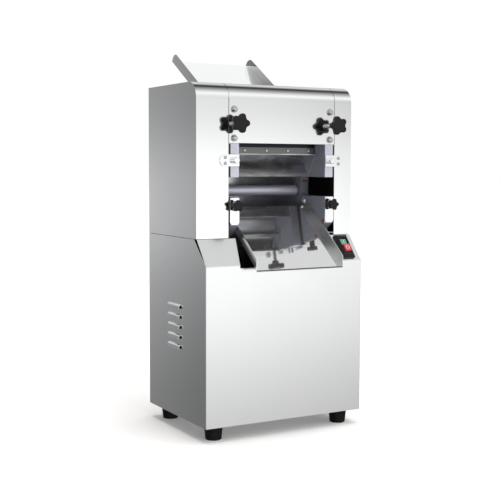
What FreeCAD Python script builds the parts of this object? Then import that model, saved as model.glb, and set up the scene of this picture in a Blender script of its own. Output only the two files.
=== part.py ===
import FreeCAD
import Part
import math
import os

# Floor-standing electric dough press with a mouth for a noodle cutter.
# Millimetres. X runs left to right, Z up from the floor. While the pieces are made, Y is measured
# from the front face of the lower cabinet towards the back; at the end every piece is moved along Y
# so that the origin lies on the floor under the middle of the whole machine.

# Cabinet: a lower part up to the waist, and an upper part with the mouth between two bays
left_bay_width = 100.0
right_bay_width = 59.0
cabinet_depth = 368.0
foot_height = 41.0
waist_height = 547.0
upper_height = 423.0
slope_rise = 70.0
slope_depth = 57.0
sheet = 1.5
top_edge_radius = 45.0
seam = 0.8
cover_gap = 2.0
cover_hole_gap = 0.5
floor_hole_gap = 1.0

# Mouth between the two wall plates; each rise is a height above the waist
mouth_width = 281.0
wall_thickness = 30.0
wall_rise = 383.0
wall_foot_front_y = 104.0
horn_rise = 36.0
wall_corner = 6.0
notch_bottom_rise = 111.0
notch_top_rise = 166.5
notch_depth = 131.0
notch_radius = 10.0
window_top_rise = 259.5

# Press rollers
roller_radius = 57.5
roller_rise = 312.0
front_roller_y = 140.0
roller_gap = 1.0
roller_end_gap = 4.0
journal_radius = 17.5
bush_wall = 5.0
shaft_clearance = 0.05
shaft_end = 3.0

# Slides of the front roller
block_height = 60.0
block_front_reach = 44.0
block_back_reach = 28.0
slide_clearance = 0.1
cap_thickness = 12.0
cap_height = 108.0
cap_bolt_spacing = 78.0
cap_bolt_radius = 4.0
cap_bolt_head_radius = 7.0
cap_bolt_head_height = 8.0
cap_bolt_head_rounding = 2.5
cap_washer_radius = 10.0
cap_washer_thickness = 1.6
cap_bolt_grip = 20.0

# Screws and star knobs that set the roller gap
gap_screw_radius = 6.0
gap_collar_radius = 10.5
gap_collar_thickness = 6.0
gap_neck_length = 8.0
gap_knob_radius = 27.0
gap_knob_thickness = 16.0
gap_hub_radius = 12.0
gap_hub_end_radius = 10.0
lobe_share = 0.31
hollow_share = 0.40
knob_rounding_share = 0.09
gap_hub_length = 10.0
left_knob_stand_off = 44.0
right_knob_stand_off = 52.0
left_knob_turn = 18.0
right_knob_turn = 54.0

# Scrapers and the guide plate under the rollers
cheek_thickness = 3.0
cheek_margin = 4.0
cheek_hole_gap = 1.0
scraper_bar_height = 18.0
scraper_bar_thickness = 3.0
scraper_lip = 7.0
scraper_bar_drop = 62.0
scraper_bar_offset = 33.0
scraper_blade_thickness = 1.2
scraper_tip_gap = 0.8
scraper_screw_count = 4
scraper_screw_share = 0.62
guide_top_drop = 59.0
guide_top_offset = 48.0
guide_bend_drop = 102.0
guide_bend_offset = 26.0
guide_foot_drop = 144.0
guide_foot_offset = 7.0

# Transfer roller
transfer_y = 211.0
transfer_rise = 127.0
transfer_radius = 15.5
transfer_journal_radius = 8.0
transfer_bush_wall = 4.0

# Roller gears and drive gears
pair_gear_module = 4.0
pair_gear_width = 24.0
drive_module = 3.0
drive_gear_teeth = 66
pinion_teeth = 15
drive_gear_width = 24.0
gear_side_gap = 8.0
tooth_backlash = 0.35
pressure_angle = 20.0
dedendum = 1.25
pinion_direction = 235.0
pinion_overlap = 2.0
pinion_shaft_radius = 12.0
web_thickness = 10.0
wheel_rim = 10.0
wheel_hub_wall = 12.0
wheel_hole_count = 6
wheel_hole_radius = 14.0

# Belt drive
pulley_width = 24.0
large_pulley_radius = 115.0
motor_pulley_radius = 38.0
pulley_side_gap = 6.0
groove_depth = 12.0
groove_top_width = 13.4
groove_half_angle = 19.0
belt_top_width = 12.0
belt_height = 8.5
belt_inset = 1.0
bracket_thickness = 12.0
bracket_gap = 8.0
bracket_post_radius = 8.0
bracket_reach = 66.0
bracket_post_directions = (205.0, 130.0, 292.0)
bracket_stud_radius = 5.0
bracket_stud_length = 14.0
bracket_hub_wall = 9.0

# Motor
motor_y = 200.0
motor_shaft_height = 90.0
motor_base_height = 44.0
motor_base_thickness = 6.0
motor_body_radius = 72.0
motor_body_length = 200.0
motor_body_left_x = -140.0
motor_fin_count = 28
motor_fin_height = 8.0
motor_fin_thickness = 3.0
motor_bell_length = 18.0
motor_bell_radius = 77.0
motor_rotor_radius = 44.0
motor_shaft_radius = 12.0
motor_foot_spacing_y = 140.0
motor_foot_spacing_x = 110.0
motor_foot_thickness = 10.0
motor_foot_width = 34.0
motor_foot_length = 140.0
motor_web_y = 43.0
motor_web_height = 14.0
motor_air_gap = 0.5
hex_head_room = 1.5
motor_plate_margin = 10.0
motor_plate_side = 35.0
fan_stand_off = 8.0
fan_width = 18.0
fan_radius = 64.0
fan_hub_radius = 22.0
fan_blade_count = 6
fan_blade_thickness = 3.0
cowl_length = 52.0
cowl_overlap = 8.0
cowl_hole_radius = 5.0
cowl_centre_hole_radius = 14.0
cowl_ring_radii = (43.0, 61.0)
cowl_hole_pitch = 19.0
terminal_box_length = 92.0
terminal_box_width = 70.0
terminal_box_height = 42.0
terminal_box_corner = 6.0

# Lugs with posts for the cutter
lug_rise = 212.5
lug_height = 33.0
lug_length = 60.0
lug_thickness = 3.0
post_radius = 8.5
post_length = 15.0
post_bevel = 0.8
post_stud_radius = 4.0
post_stud_length = 15.0
lug_screw_spacing = 16.0

# Clamp straps and small star knobs
strap_width = 29.0
strap_rise = 36.5
strap_height = 74.0
strap_shift = 0.8
strap_thickness = 3.0
strap_slot_radius = 4.3
strap_corner = 4.0
strap_foot_corner = 9.0
strap_lift = 9.0
strap_drop = 9.0
clamp_knob_rise = 89.0
clamp_knob_radius = 16.5
clamp_knob_thickness = 11.0
clamp_hub_radius = 8.0
clamp_hub_gap = 0.3
clamp_knob_stand_off = 28.0
clamp_stud_radius = 4.0
clamp_stud_grip = 15.0
left_clamp_turn = 2.0
right_clamp_turn = 16.0

# Outfeed tray
tray_angle = 38.5
tray_pivot_y = 165.0
tray_pivot_rise = 96.0
tray_pivot_lift = 9.5
tray_length = 271.0
tray_wall_height = 22.0
tray_side_gap = 1.0
tray_ear_radius = 11.0
tray_nose_radius = 9.0
tray_pin_radius = 5.0
tray_pin_length = 12.0
tray_hem = 10.0
tray_rest_width = 120.0
tray_rest_thickness = 2.0
tray_rest_length = 40.0
tray_rest_leg = 45.0
tray_rest_gap = 0.3

# Cut-out of the slope round the tray
cutout_top_margin = 10.2
cutout_fold_margin = 26.2
cutout_lip_drop = 7.0

# Infeed chute
chute_angle = 32.0
chute_width = 262.0
chute_top_y = 352.0
chute_reach = 180.0
chute_inner_y = 272.0
chute_flange_height = 32.0
chute_corner_radius = 21.0
chute_hole_gap = 1.0
chute_tab_length = 30.0
chute_tab_y = 296.0

# Switch on the slope
switch_offset = 48.5
switch_width = 42.0
switch_length = 78.0
switch_up_slope = 46.0
switch_height = 12.0
switch_bevel = 6.0
switch_depth_inside = 40.0
switch_floor_thickness = 3.0
switch_body_width = 34.0
switch_body_length = 56.0
switch_hole_gap = 1.0
switch_pocket_width = 24.0
switch_pocket_length = 52.0
switch_pocket_depth = 6.0
button_width = 21.0
start_button_length = 21.0
stop_button_length = 24.0
start_button_rise = -3.0
stop_button_rise = 5.0
button_gap = 0.25
button_spacing = 1.0
button_skirt = 12.0
button_stem = 6.0
button_rounding = 1.5
button_travel = 3.5

# Louvres
louvre_count = 5
louvre_pitch = 28.2
louvre_length = 76.0
louvre_height = 12.0
louvre_bulge = 7.5
louvre_front_y = 154.0
louvre_first_z = 235.0

# Frame, feet and fasteners
angle_width = 30.0
angle_thickness = 3.0
gusset_size = 80.0
foot_inset = 46.0
foot_top_radius = 26.5
foot_bottom_radius = 22.3
foot_rounding = 2.0
bolt_radius = 5.0
wall_bolt_grip = 24.0
hex_head_radius = 9.0
hex_head_height = 6.0
foot_recess_radius = 11.0
foot_recess_depth = 14.0
front_post_y = 84.0
belt_rail_inset = 32.5
front_beam_y = 150.0
beam_inset_from_back = 23.0
screw_radius = 2.5
screw_head_radius = 4.5
screw_head_height = 2.6
screw_head_rounding = 1.4
screw_grip = 10.0
rear_screw_inset = 30.0
hole_clearance = 0.1
tie_bar_radius = 10.0
tie_stud_radius = 6.0
tie_nut_height = 7.0
tie_bar_inset = 42.0
front_tie_bar_inset = 27.0
low_tie_bar_rise = 53.0
high_tie_bar_rise = 205.0
gland_x = 150.0
gland_z = 120.0
gland_radius = 10.0
gland_bore = 4.0
gland_flange_radius = 14.0
gland_flange_thickness = 5.0
gland_stem_length = 10.0
gland_nose_radius = 7.0
gland_nose_length = 13.0

# Values that follow from the sizes above
tiny = 0.01
cabinet_width = left_bay_width + mouth_width + 2 * wall_thickness + right_bay_width
cabinet_height = waist_height + upper_height
fold_height = waist_height - slope_rise
half_width = cabinet_width / 2
side_inner_x = half_width - sheet
upper_inner_y = slope_depth + sheet
rear_inner_y = cabinet_depth - sheet
wall_left_x = left_bay_width - half_width
mouth_left_x = wall_left_x + wall_thickness
mouth_right_x = mouth_left_x + mouth_width
mouth_centre_x = mouth_left_x + mouth_width / 2
wall_right_x = mouth_right_x + wall_thickness
wall_top_z = waist_height + wall_rise
horn_bottom_z = waist_height + horn_rise
notch_bottom_z = waist_height + notch_bottom_rise
notch_top_z = waist_height + notch_top_rise
window_top_z = waist_height + window_top_rise
roller_z = waist_height + roller_rise
transfer_z = waist_height + transfer_rise
lug_z = waist_height + lug_rise
strap_bottom_z = waist_height + strap_rise
clamp_knob_z = waist_height + clamp_knob_rise
tray_pivot_z = waist_height + tray_pivot_rise
low_tie_bar_z = waist_height + low_tie_bar_rise
high_tie_bar_z = waist_height + high_tie_bar_rise
left_centre_x = mouth_left_x - wall_thickness / 2
right_centre_x = mouth_right_x + wall_thickness / 2
roller_pitch = 2 * roller_radius + roller_gap
rear_roller_y = front_roller_y + roller_pitch
bush_radius = journal_radius + bush_wall
cap_bottom_z = roller_z - cap_height / 2
slot_front_y = upper_inner_y + cap_thickness
block_front_y = front_roller_y - block_front_reach
block_back_y = front_roller_y + block_back_reach
roller_left_x = mouth_left_x + roller_end_gap
roller_right_x = mouth_right_x - roller_end_gap
pair_gear_teeth = int(round(roller_pitch / pair_gear_module))
pair_gear_x = wall_right_x + 5.0
drive_gear_right_x = wall_left_x - gear_side_gap
drive_gear_left_x = drive_gear_right_x - drive_gear_width
drive_centres = drive_module * (drive_gear_teeth + pinion_teeth) / 2
pinion_y = rear_roller_y + drive_centres * math.cos(math.radians(pinion_direction))
pinion_z = roller_z + drive_centres * math.sin(math.radians(pinion_direction))
bracket_right_x = drive_gear_left_x - bracket_gap
bracket_left_x = bracket_right_x - bracket_thickness
pulley_left_x = -side_inner_x + pulley_side_gap
pulley_right_x = pulley_left_x + pulley_width
belt_x = pulley_left_x + pulley_width / 2
floor_top_z = foot_height + angle_thickness + sheet
motor_base_top_z = floor_top_z + motor_base_height
motor_z = motor_base_top_z + motor_shaft_height
motor_body_right_x = motor_body_left_x + motor_body_length
rail_left_x = -side_inner_x + belt_rail_inset
rail_right_x = side_inner_x - angle_thickness
rear_beam_y = rear_inner_y - beam_inset_from_back - angle_width
scraper_bar_top_z = roller_z - scraper_bar_drop
scraper_bar_bottom_z = scraper_bar_top_z - scraper_bar_height
slope_angle = math.degrees(math.atan2(slope_rise, slope_depth))
switch_x = mouth_right_x + switch_offset
tray_left_x = mouth_left_x + tray_side_gap
tray_right_x = mouth_right_x - tray_side_gap
strap_back_y = slope_depth - slide_clearance
chute_left_x = mouth_centre_x - chute_width / 2
chute_right_x = mouth_centre_x + chute_width / 2
chute_slant = math.radians(chute_angle)

BACKWARD = FreeCAD.Vector(0, 1, 0)
FORWARD = FreeCAD.Vector(0, -1, 0)
DOWN = FreeCAD.Vector(0, 0, -1)


# Plain shapes

def box(x0, x1, y0, y1, z0, z1):
    return Part.makeBox(x1 - x0, y1 - y0, z1 - z0, FreeCAD.Vector(x0, y0, z0))


def rod_x(radius, x0, x1, y, z):
    return Part.makeCylinder(radius, x1 - x0, FreeCAD.Vector(x0, y, z), FreeCAD.Vector(1, 0, 0))


def rod_y(radius, y0, y1, x, z):
    return Part.makeCylinder(radius, y1 - y0, FreeCAD.Vector(x, y0, z), FreeCAD.Vector(0, 1, 0))


def rod_z(radius, z0, z1, x, y):
    return Part.makeCylinder(radius, z1 - z0, FreeCAD.Vector(x, y, z0), FreeCAD.Vector(0, 0, 1))


def outline(points, place, radii=None):
    """Closed wire through 2-D points, with arcs of the given radii at its corners."""
    count = len(points)
    radii = radii or {}
    edges = []
    ends = []
    for i in range(count):
        corner = FreeCAD.Vector(points[i][0], points[i][1], 0)
        radius = radii.get(i, 0.0)
        if radius <= 0:
            ends.append((corner, None, corner))
            continue
        before = FreeCAD.Vector(points[i - 1][0], points[i - 1][1], 0) - corner
        after = FreeCAD.Vector(points[(i + 1) % count][0], points[(i + 1) % count][1], 0) - corner
        before.normalize()
        after.normalize()
        half = before.getAngle(after) / 2
        bisector = before + after
        bisector.normalize()
        centre = corner + bisector * (radius / math.sin(half))
        setback = radius / math.tan(half)
        ends.append((corner + before * setback, centre - bisector * radius, corner + after * setback))
    for i in range(count):
        start, middle, stop = ends[i]
        if middle is not None:
            edges.append(Part.Arc(place(start), place(middle), place(stop)).toShape())
        following = ends[(i + 1) % count][0]
        if (following - stop).Length > 1e-6:
            edges.append(Part.LineSegment(place(stop), place(following)).toShape())
    return Part.Wire(edges)


def plate_x(points, x0, x1, radii=None):
    """Plate with a (Y, Z) outline between two X planes."""
    wire = outline(points, lambda p: FreeCAD.Vector(x0, p.x, p.y), radii)
    return Part.Face(wire).extrude(FreeCAD.Vector(x1 - x0, 0, 0))


def plate_y(points, y0, y1, radii=None):
    """Plate with an (X, Z) outline between two Y planes."""
    wire = outline(points, lambda p: FreeCAD.Vector(p.x, y0, p.y), radii)
    return Part.Face(wire).extrude(FreeCAD.Vector(0, y1 - y0, 0))


def offset_path(points, distance):
    """Open path moved sideways, to the right of its direction."""
    moved = []
    normals = []
    for (a0, b0), (a1, b1) in zip(points, points[1:]):
        length = math.hypot(a1 - a0, b1 - b0)
        normals.append(((b1 - b0) / length, -(a1 - a0) / length))
    for i, (a, b) in enumerate(points):
        first = normals[max(i - 1, 0)]
        second = normals[min(i, len(normals) - 1)]
        scale = distance / (1 + first[0] * second[0] + first[1] * second[1])
        moved.append((a + (first[0] + second[0]) * scale, b + (first[1] + second[1]) * scale))
    return moved


def bent_sheet(points, thickness, x0, x1):
    """Sheet folded along X that follows a (Y, Z) path, its thickness to the right of the path."""
    return plate_x(points + offset_path(points, thickness)[::-1], x0, x1)


def fuse(shapes):
    return shapes[0].multiFuse(shapes[1:]).removeSplitter()


def hexagon(radius, z0, z1, x, y):
    corners = []
    for sixth in range(7):
        angle = math.radians(60 * sixth)
        corners.append(FreeCAD.Vector(x + radius * math.cos(angle), y + radius * math.sin(angle), z0))
    return Part.Face(Part.makePolygon(corners)).extrude(FreeCAD.Vector(0, 0, z1 - z0))


def on_slope(shape, x, up_slope):
    """Moves a shape made flat (X across, Y up the slope, Z out of it) onto the slope of the panel."""
    placed = shape.copy()
    placed.rotate(FreeCAD.Vector(0, 0, 0), FreeCAD.Vector(1, 0, 0), slope_angle)
    rise = math.radians(slope_angle)
    placed.translate(FreeCAD.Vector(x, up_slope * math.cos(rise), fold_height + up_slope * math.sin(rise)))
    return placed


# Cabinet shells

def lower_profile():
    return [(0, foot_height), (0, fold_height), (slope_depth, waist_height)]


def lower_front_panel():
    panel = bent_sheet(lower_profile(), sheet, -side_inner_x, side_inner_x)
    top = (mouth_left_x - cutout_top_margin, mouth_right_x + cutout_top_margin)
    low = (mouth_left_x - cutout_fold_margin, mouth_right_x + cutout_fold_margin)
    lip_z = fold_height - cutout_lip_drop
    over = waist_height + 1
    opening = [(low[0], lip_z), (low[1], lip_z), (low[1], fold_height), (top[1], waist_height),
               (top[1], over), (top[0], over), (top[0], waist_height), (low[0], fold_height)]
    panel = panel.cut(plate_y(opening, -1, slope_depth + 1 + sheet))
    half_x = switch_body_width / 2 + switch_hole_gap
    half_y = switch_body_length / 2 + switch_hole_gap
    well = box(-half_x, half_x, -half_y, half_y, -3 * sheet, 3 * sheet)
    return panel.cut(on_slope(well, switch_x, switch_up_slope))


def louvre(side, z):
    """Lanced louvre: a strip hinged at its top edge, its lower edge pushed out."""
    out = side * half_width
    front = louvre_front_y
    back = louvre_front_y + louvre_length
    strip = [(out - side * sheet, z + louvre_height), (out, z + louvre_height),
             (out + side * louvre_bulge, z), (out + side * (louvre_bulge - sheet), z)]
    return plate_y(strip, front, back)


def lower_side_panel(side):
    inner = side * side_inner_x
    outer = side * half_width
    x0, x1 = min(inner, outer), max(inner, outer)
    profile = [(0, foot_height), (cabinet_depth, foot_height), (cabinet_depth, waist_height),
               (slope_depth, waist_height), (0, fold_height)]
    panel = plate_x(profile, x0, x1)
    hoods = []
    for i in range(louvre_count):
        z = louvre_first_z + i * louvre_pitch
        window = box(x0 - 1, x1 + 1, louvre_front_y, louvre_front_y + louvre_length, z, z + louvre_height)
        panel = panel.cut(window)
        hoods.append(louvre(side, z))
    return fuse([panel] + hoods)


def lower_rear_panel():
    panel = box(-side_inner_x, side_inner_x, rear_inner_y, cabinet_depth, foot_height, waist_height)
    inside, outside = rear_inner_y - 1, cabinet_depth + 1
    panel = panel.cut(rod_y(gland_radius + hole_clearance, inside, outside, gland_x, gland_z))
    for x, z in lower_rear_screws():
        panel = panel.cut(rod_y(screw_radius + hole_clearance, inside, outside, x, z))
    return panel


def floor_plate():
    inset = sheet + angle_thickness
    plate = box(-half_width + inset, half_width - inset, inset, cabinet_depth - inset,
                foot_height + angle_thickness, floor_top_z)
    gap = floor_hole_gap
    for x, y in post_corners():
        plate = plate.cut(box(x - gap, x + angle_width + gap, y - gap, y + angle_width + gap,
                              foot_height, floor_top_z + 1))
    for x, y in foot_places():
        plate = plate.cut(rod_z(hex_head_radius + gap, foot_height, floor_top_z + 1, x, y))
    return plate


def upper_front_band(x0, x1, bottom_z, back_y):
    """Front face and top of the upper cabinet in one sheet, with the rounded edge between them."""
    outer = [(slope_depth, bottom_z), (slope_depth, cabinet_height),
             (back_y, cabinet_height), (back_y, bottom_z)]
    inner = [(upper_inner_y, bottom_z - 1), (upper_inner_y, cabinet_height - sheet),
             (back_y + 1, cabinet_height - sheet), (back_y + 1, bottom_z - 1)]
    skin = plate_x(outer, x0, x1, {1: top_edge_radius})
    return skin.cut(plate_x(inner, x0 - 1, x1 + 1, {1: top_edge_radius - sheet}))


def upper_side_cover(side):
    wall_x = wall_left_x if side < 0 else wall_right_x
    outer = side * half_width
    inner = side * side_inner_x
    edge = wall_x + side * cover_gap
    bottom = waist_height + seam
    band = upper_front_band(min(outer, edge), max(outer, edge), bottom, rear_inner_y)
    cheek = plate_x([(slope_depth, bottom), (slope_depth, cabinet_height), (cabinet_depth, cabinet_height),
                     (cabinet_depth, bottom)], min(outer, inner), max(outer, inner), {1: top_edge_radius})
    cover = fuse([band, cheek])
    for x, z in lug_screws(side):
        cover = cover.cut(rod_y(screw_radius + hole_clearance, slope_depth - 1, upper_inner_y + 1, x, z))
    return cover


def upper_centre_cover():
    x0 = wall_left_x - cover_gap + seam
    x1 = wall_right_x + cover_gap - seam
    cover = upper_front_band(x0, x1, window_top_z, rear_inner_y)
    gap = chute_hole_gap
    mouth_front = chute_top_y - (chute_flange_height + sheet) / math.sin(chute_slant) - gap
    cover = cover.cut(box(chute_left_x - gap, chute_right_x + gap, mouth_front,
                          chute_top_y + (sheet + gap) / math.sin(chute_slant),
                          cabinet_height - 3 * sheet, cabinet_height + 1))
    for x, z in cap_bolt_places():
        cover = cover.cut(rod_y(cap_bolt_radius + cover_hole_gap, slope_depth - 1, upper_inner_y + 1, x, z))
    for x in (left_centre_x, right_centre_x):
        cover = cover.cut(rod_y(gap_screw_radius + cover_hole_gap, slope_depth - 1, upper_inner_y + 1,
                                x, roller_z))
    return cover


def upper_rear_cover():
    cover = box(-side_inner_x, side_inner_x, rear_inner_y, cabinet_depth, waist_height + seam, cabinet_height)
    for x, z in upper_rear_screws():
        cover = cover.cut(rod_y(screw_radius + hole_clearance, rear_inner_y - 1, cabinet_depth + 1, x, z))
    return cover


# Infeed chute

def chute_height_at(y):
    """Height of the chute floor's upper side at a given depth."""
    return cabinet_height + (y - chute_top_y) * math.tan(chute_slant)


def infeed_chute():
    cos, sin = math.cos(chute_slant), math.sin(chute_slant)
    start = (chute_inner_y, chute_height_at(chute_inner_y))
    length = chute_reach + (chute_top_y - chute_inner_y) / cos
    stop = (start[0] + length * cos, start[1] + length * sin)
    under = (sheet * sin, -sheet * cos)
    rise = (-chute_flange_height * sin, chute_flange_height * cos)
    floor = plate_x([start, stop, (stop[0] + under[0], stop[1] + under[1]),
                     (start[0] + under[0], start[1] + under[1])], chute_left_x, chute_right_x)
    flange = [(start[0] + under[0], start[1] + under[1]), (stop[0] + under[0], stop[1] + under[1]),
              (stop[0] + rise[0], stop[1] + rise[1]), (start[0] + rise[0], start[1] + rise[1])]
    pieces = [floor]
    tab_back_y = chute_tab_y + chute_tab_length
    tab_top_z = chute_height_at(chute_tab_y) + chute_flange_height / 2
    for x0, side in ((chute_left_x, -1), (chute_right_x - sheet, 1)):
        pieces.append(plate_x(flange, x0, x0 + sheet, {2: chute_corner_radius}))
        outer = x0 if side < 0 else x0 + sheet
        end = left_centre_x if side < 0 else right_centre_x
        pieces.append(box(min(outer, end), max(outer, end), chute_tab_y, tab_back_y,
                          wall_top_z, wall_top_z + sheet))
        inside = outer + side * sheet
        pieces.append(box(min(outer, inside), max(outer, inside), chute_tab_y, tab_back_y,
                          wall_top_z, tab_top_z))
    chute = fuse(pieces)
    for x, y in chute_screws():
        chute = chute.cut(rod_z(screw_radius + hole_clearance, wall_top_z - 1, wall_top_z + sheet + 1, x, y))
    return chute


# Wall plates and what joins them

def tie_bar_places():
    back_y = cabinet_depth - tie_bar_inset
    return [(back_y, low_tie_bar_z), (back_y, high_tie_bar_z),
            (wall_foot_front_y + front_tie_bar_inset, waist_height + front_tie_bar_inset)]


def wall_outline():
    front = slope_depth
    return [(wall_foot_front_y, waist_height), (rear_inner_y, waist_height), (rear_inner_y, wall_top_z),
            (upper_inner_y + wall_corner, wall_top_z), (upper_inner_y, wall_top_z - wall_corner),
            (upper_inner_y, cap_bottom_z + cap_height),
            (slot_front_y, cap_bottom_z + cap_height), (slot_front_y, cap_bottom_z), (front, cap_bottom_z),
            (front, notch_top_z), (front + notch_depth, notch_top_z), (front + notch_depth, notch_bottom_z),
            (front, notch_bottom_z), (front, horn_bottom_z)]


def wall_plate(side):
    x0, x1 = (wall_left_x, mouth_left_x) if side < 0 else (mouth_right_x, wall_right_x)
    inner = mouth_left_x if side < 0 else mouth_right_x
    centre = (x0 + x1) / 2
    plate = plate_x(wall_outline(), x0, x1, {10: notch_radius, 11: notch_radius})
    half = block_height / 2 + slide_clearance
    cuts = [box(x0 - 1, x1 + 1, slot_front_y - 1, block_back_y + slide_clearance,
                roller_z - half, roller_z + half)]
    cuts.append(rod_x(bush_radius, x0 - 1, x1 + 1, rear_roller_y, roller_z))
    cuts.append(rod_x(transfer_journal_radius + transfer_bush_wall, x0 - 1, x1 + 1, transfer_y, transfer_z))
    pin_end = inner + side * (tray_pin_length + tray_side_gap)
    cuts.append(rod_x(tray_pin_radius + shaft_clearance, min(inner, pin_end), max(inner, pin_end),
                      tray_pivot_y, tray_pivot_z))
    for y, z in tie_bar_places():
        cuts.append(rod_x(tie_stud_radius + hole_clearance, x0 - 1, x1 + 1, y, z))
    for x, z in cap_bolt_places():
        cuts.append(rod_y(cap_bolt_radius + hole_clearance, slot_front_y - 1, slot_front_y + cap_bolt_grip,
                          x, z))
    for x, z in upper_rear_screws():
        cuts.append(rod_y(screw_radius + hole_clearance, rear_inner_y - screw_grip, rear_inner_y + 1, x, z))
    for x, y in chute_screws():
        cuts.append(rod_z(screw_radius + hole_clearance, wall_top_z - screw_grip, wall_top_z + 1, x, y))
    for x, y in wall_bolt_places():
        cuts.append(rod_z(bolt_radius + hole_clearance, waist_height - 1, waist_height + wall_bolt_grip,
                          x, y))
    cuts.append(rod_y(post_stud_radius + hole_clearance, slope_depth - 1, slope_depth + post_stud_length + 1,
                      centre, lug_z))
    cuts.append(rod_y(clamp_stud_radius + shaft_clearance, slope_depth - 1, slope_depth + clamp_stud_grip + 1,
                      centre, clamp_knob_z))
    if side < 0:
        cuts.append(rod_x(pinion_shaft_radius + bush_wall, x0 - 1, x1 + 1, pinion_y, pinion_z))
        for y, z in bracket_posts():
            cuts.append(rod_x(bracket_stud_radius + hole_clearance, x0 - 1, x0 + bracket_stud_length + 1,
                              y, z))
    return plate.cut(Part.makeCompound(cuts))


def wall_tie_bars():
    bars = []
    for y, z in tie_bar_places():
        bar = rod_x(tie_bar_radius, mouth_left_x, mouth_right_x, y, z)
        stud = rod_x(tie_stud_radius, wall_left_x - tie_nut_height, wall_right_x + tie_nut_height, y, z)
        left_nut = rod_x(tie_bar_radius, wall_left_x - tie_nut_height, wall_left_x, y, z)
        right_nut = rod_x(tie_bar_radius, wall_right_x, wall_right_x + tie_nut_height, y, z)
        bars.append(fuse([bar, stud, left_nut, right_nut]))
    return Part.makeCompound(bars)


def ring_x(outer, inner, x0, x1, y, z):
    return rod_x(outer, x0, x1, y, z).cut(rod_x(inner, x0 - 1, x1 + 1, y, z))


def bronze_bushes():
    """Bushes pressed into the wall plates and the outboard bracket."""
    bushes = []
    for x0, x1 in ((wall_left_x, mouth_left_x), (mouth_right_x, wall_right_x)):
        bushes.append(ring_x(bush_radius, journal_radius + shaft_clearance, x0, x1, rear_roller_y, roller_z))
        bushes.append(ring_x(transfer_journal_radius + transfer_bush_wall,
                             transfer_journal_radius + shaft_clearance, x0, x1, transfer_y, transfer_z))
    for x0, x1 in ((wall_left_x, mouth_left_x), (bracket_left_x, bracket_right_x)):
        bushes.append(ring_x(pinion_shaft_radius + bush_wall, pinion_shaft_radius + shaft_clearance,
                             x0, x1, pinion_y, pinion_z))
    return Part.makeCompound(bushes)


# Front roller slides

def cap_bolt_places():
    return [(x, roller_z + offset) for x in (left_centre_x, right_centre_x)
            for offset in (-cap_bolt_spacing / 2, cap_bolt_spacing / 2)]


def slide_caps():
    caps = []
    for x0, x1 in ((wall_left_x, mouth_left_x), (mouth_right_x, wall_right_x)):
        cap = box(x0, x1, upper_inner_y, slot_front_y, cap_bottom_z, cap_bottom_z + cap_height)
        cap = cap.cut(rod_y(gap_screw_radius + shaft_clearance, upper_inner_y - 1, slot_front_y + 1,
                            (x0 + x1) / 2, roller_z))
        for x, z in cap_bolt_places():
            cap = cap.cut(rod_y(cap_bolt_radius + hole_clearance, upper_inner_y - 1, slot_front_y + 1, x, z))
        caps.append(cap)
    return Part.makeCompound(caps)


def cap_bolts():
    bolts = []
    for x, z in cap_bolt_places():
        washer = rod_y(cap_washer_radius, slope_depth - cap_washer_thickness, slope_depth, x, z)
        head_back = slope_depth - cap_washer_thickness
        head = rod_y(cap_bolt_head_radius, head_back - cap_bolt_head_height, head_back, x, z)
        rim = [e for e in head.Edges if abs(e.BoundBox.YMax - head.BoundBox.YMin) < 1e-3]
        head = head.makeFillet(cap_bolt_head_rounding, rim)
        shank = rod_y(cap_bolt_radius, head_back - 1, slot_front_y + cap_bolt_grip - 1, x, z)
        bolts.append(fuse([washer, head, shank]))
    return Part.makeCompound(bolts)


def front_bearing_blocks():
    """Sliding blocks with a T-slot, open at the top, that holds the collar of the gap screw."""
    blocks = []
    half = block_height / 2
    spans = ((wall_left_x, mouth_left_x + slide_clearance, left_centre_x),
             (mouth_right_x - slide_clearance, wall_right_x, right_centre_x))
    for x0, x1, centre in spans:
        block = box(x0, x1, block_front_y, block_back_y, roller_z - half, roller_z + half)
        block = block.cut(rod_x(bush_radius, x0 - 1, x1 + 1, front_roller_y, roller_z))
        neck_back = block_front_y + gap_neck_length
        neck = gap_screw_radius + hole_clearance
        collar = gap_collar_radius + hole_clearance
        pocket_back = neck_back + gap_collar_thickness + 2 * hole_clearance
        top = roller_z + half + 1
        slots = [rod_y(neck, block_front_y - 1, neck_back, centre, roller_z),
                 box(centre - neck, centre + neck, block_front_y - 1, neck_back, roller_z, top),
                 rod_y(collar, neck_back, pocket_back, centre, roller_z),
                 box(centre - collar, centre + collar, neck_back, pocket_back, roller_z, top)]
        blocks.append(block.cut(Part.makeCompound(slots)))
    return Part.makeCompound(blocks)


def front_roller_bushes():
    bushes = []
    for x0, x1 in ((wall_left_x, mouth_left_x), (mouth_right_x, wall_right_x)):
        bushes.append(ring_x(bush_radius, journal_radius + shaft_clearance, x0, x1, front_roller_y, roller_z))
    return Part.makeCompound(bushes)


def cheek_x(side):
    if side < 0:
        return mouth_left_x + slide_clearance, mouth_left_x + slide_clearance + cheek_thickness
    return mouth_right_x - slide_clearance - cheek_thickness, mouth_right_x - slide_clearance


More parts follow.
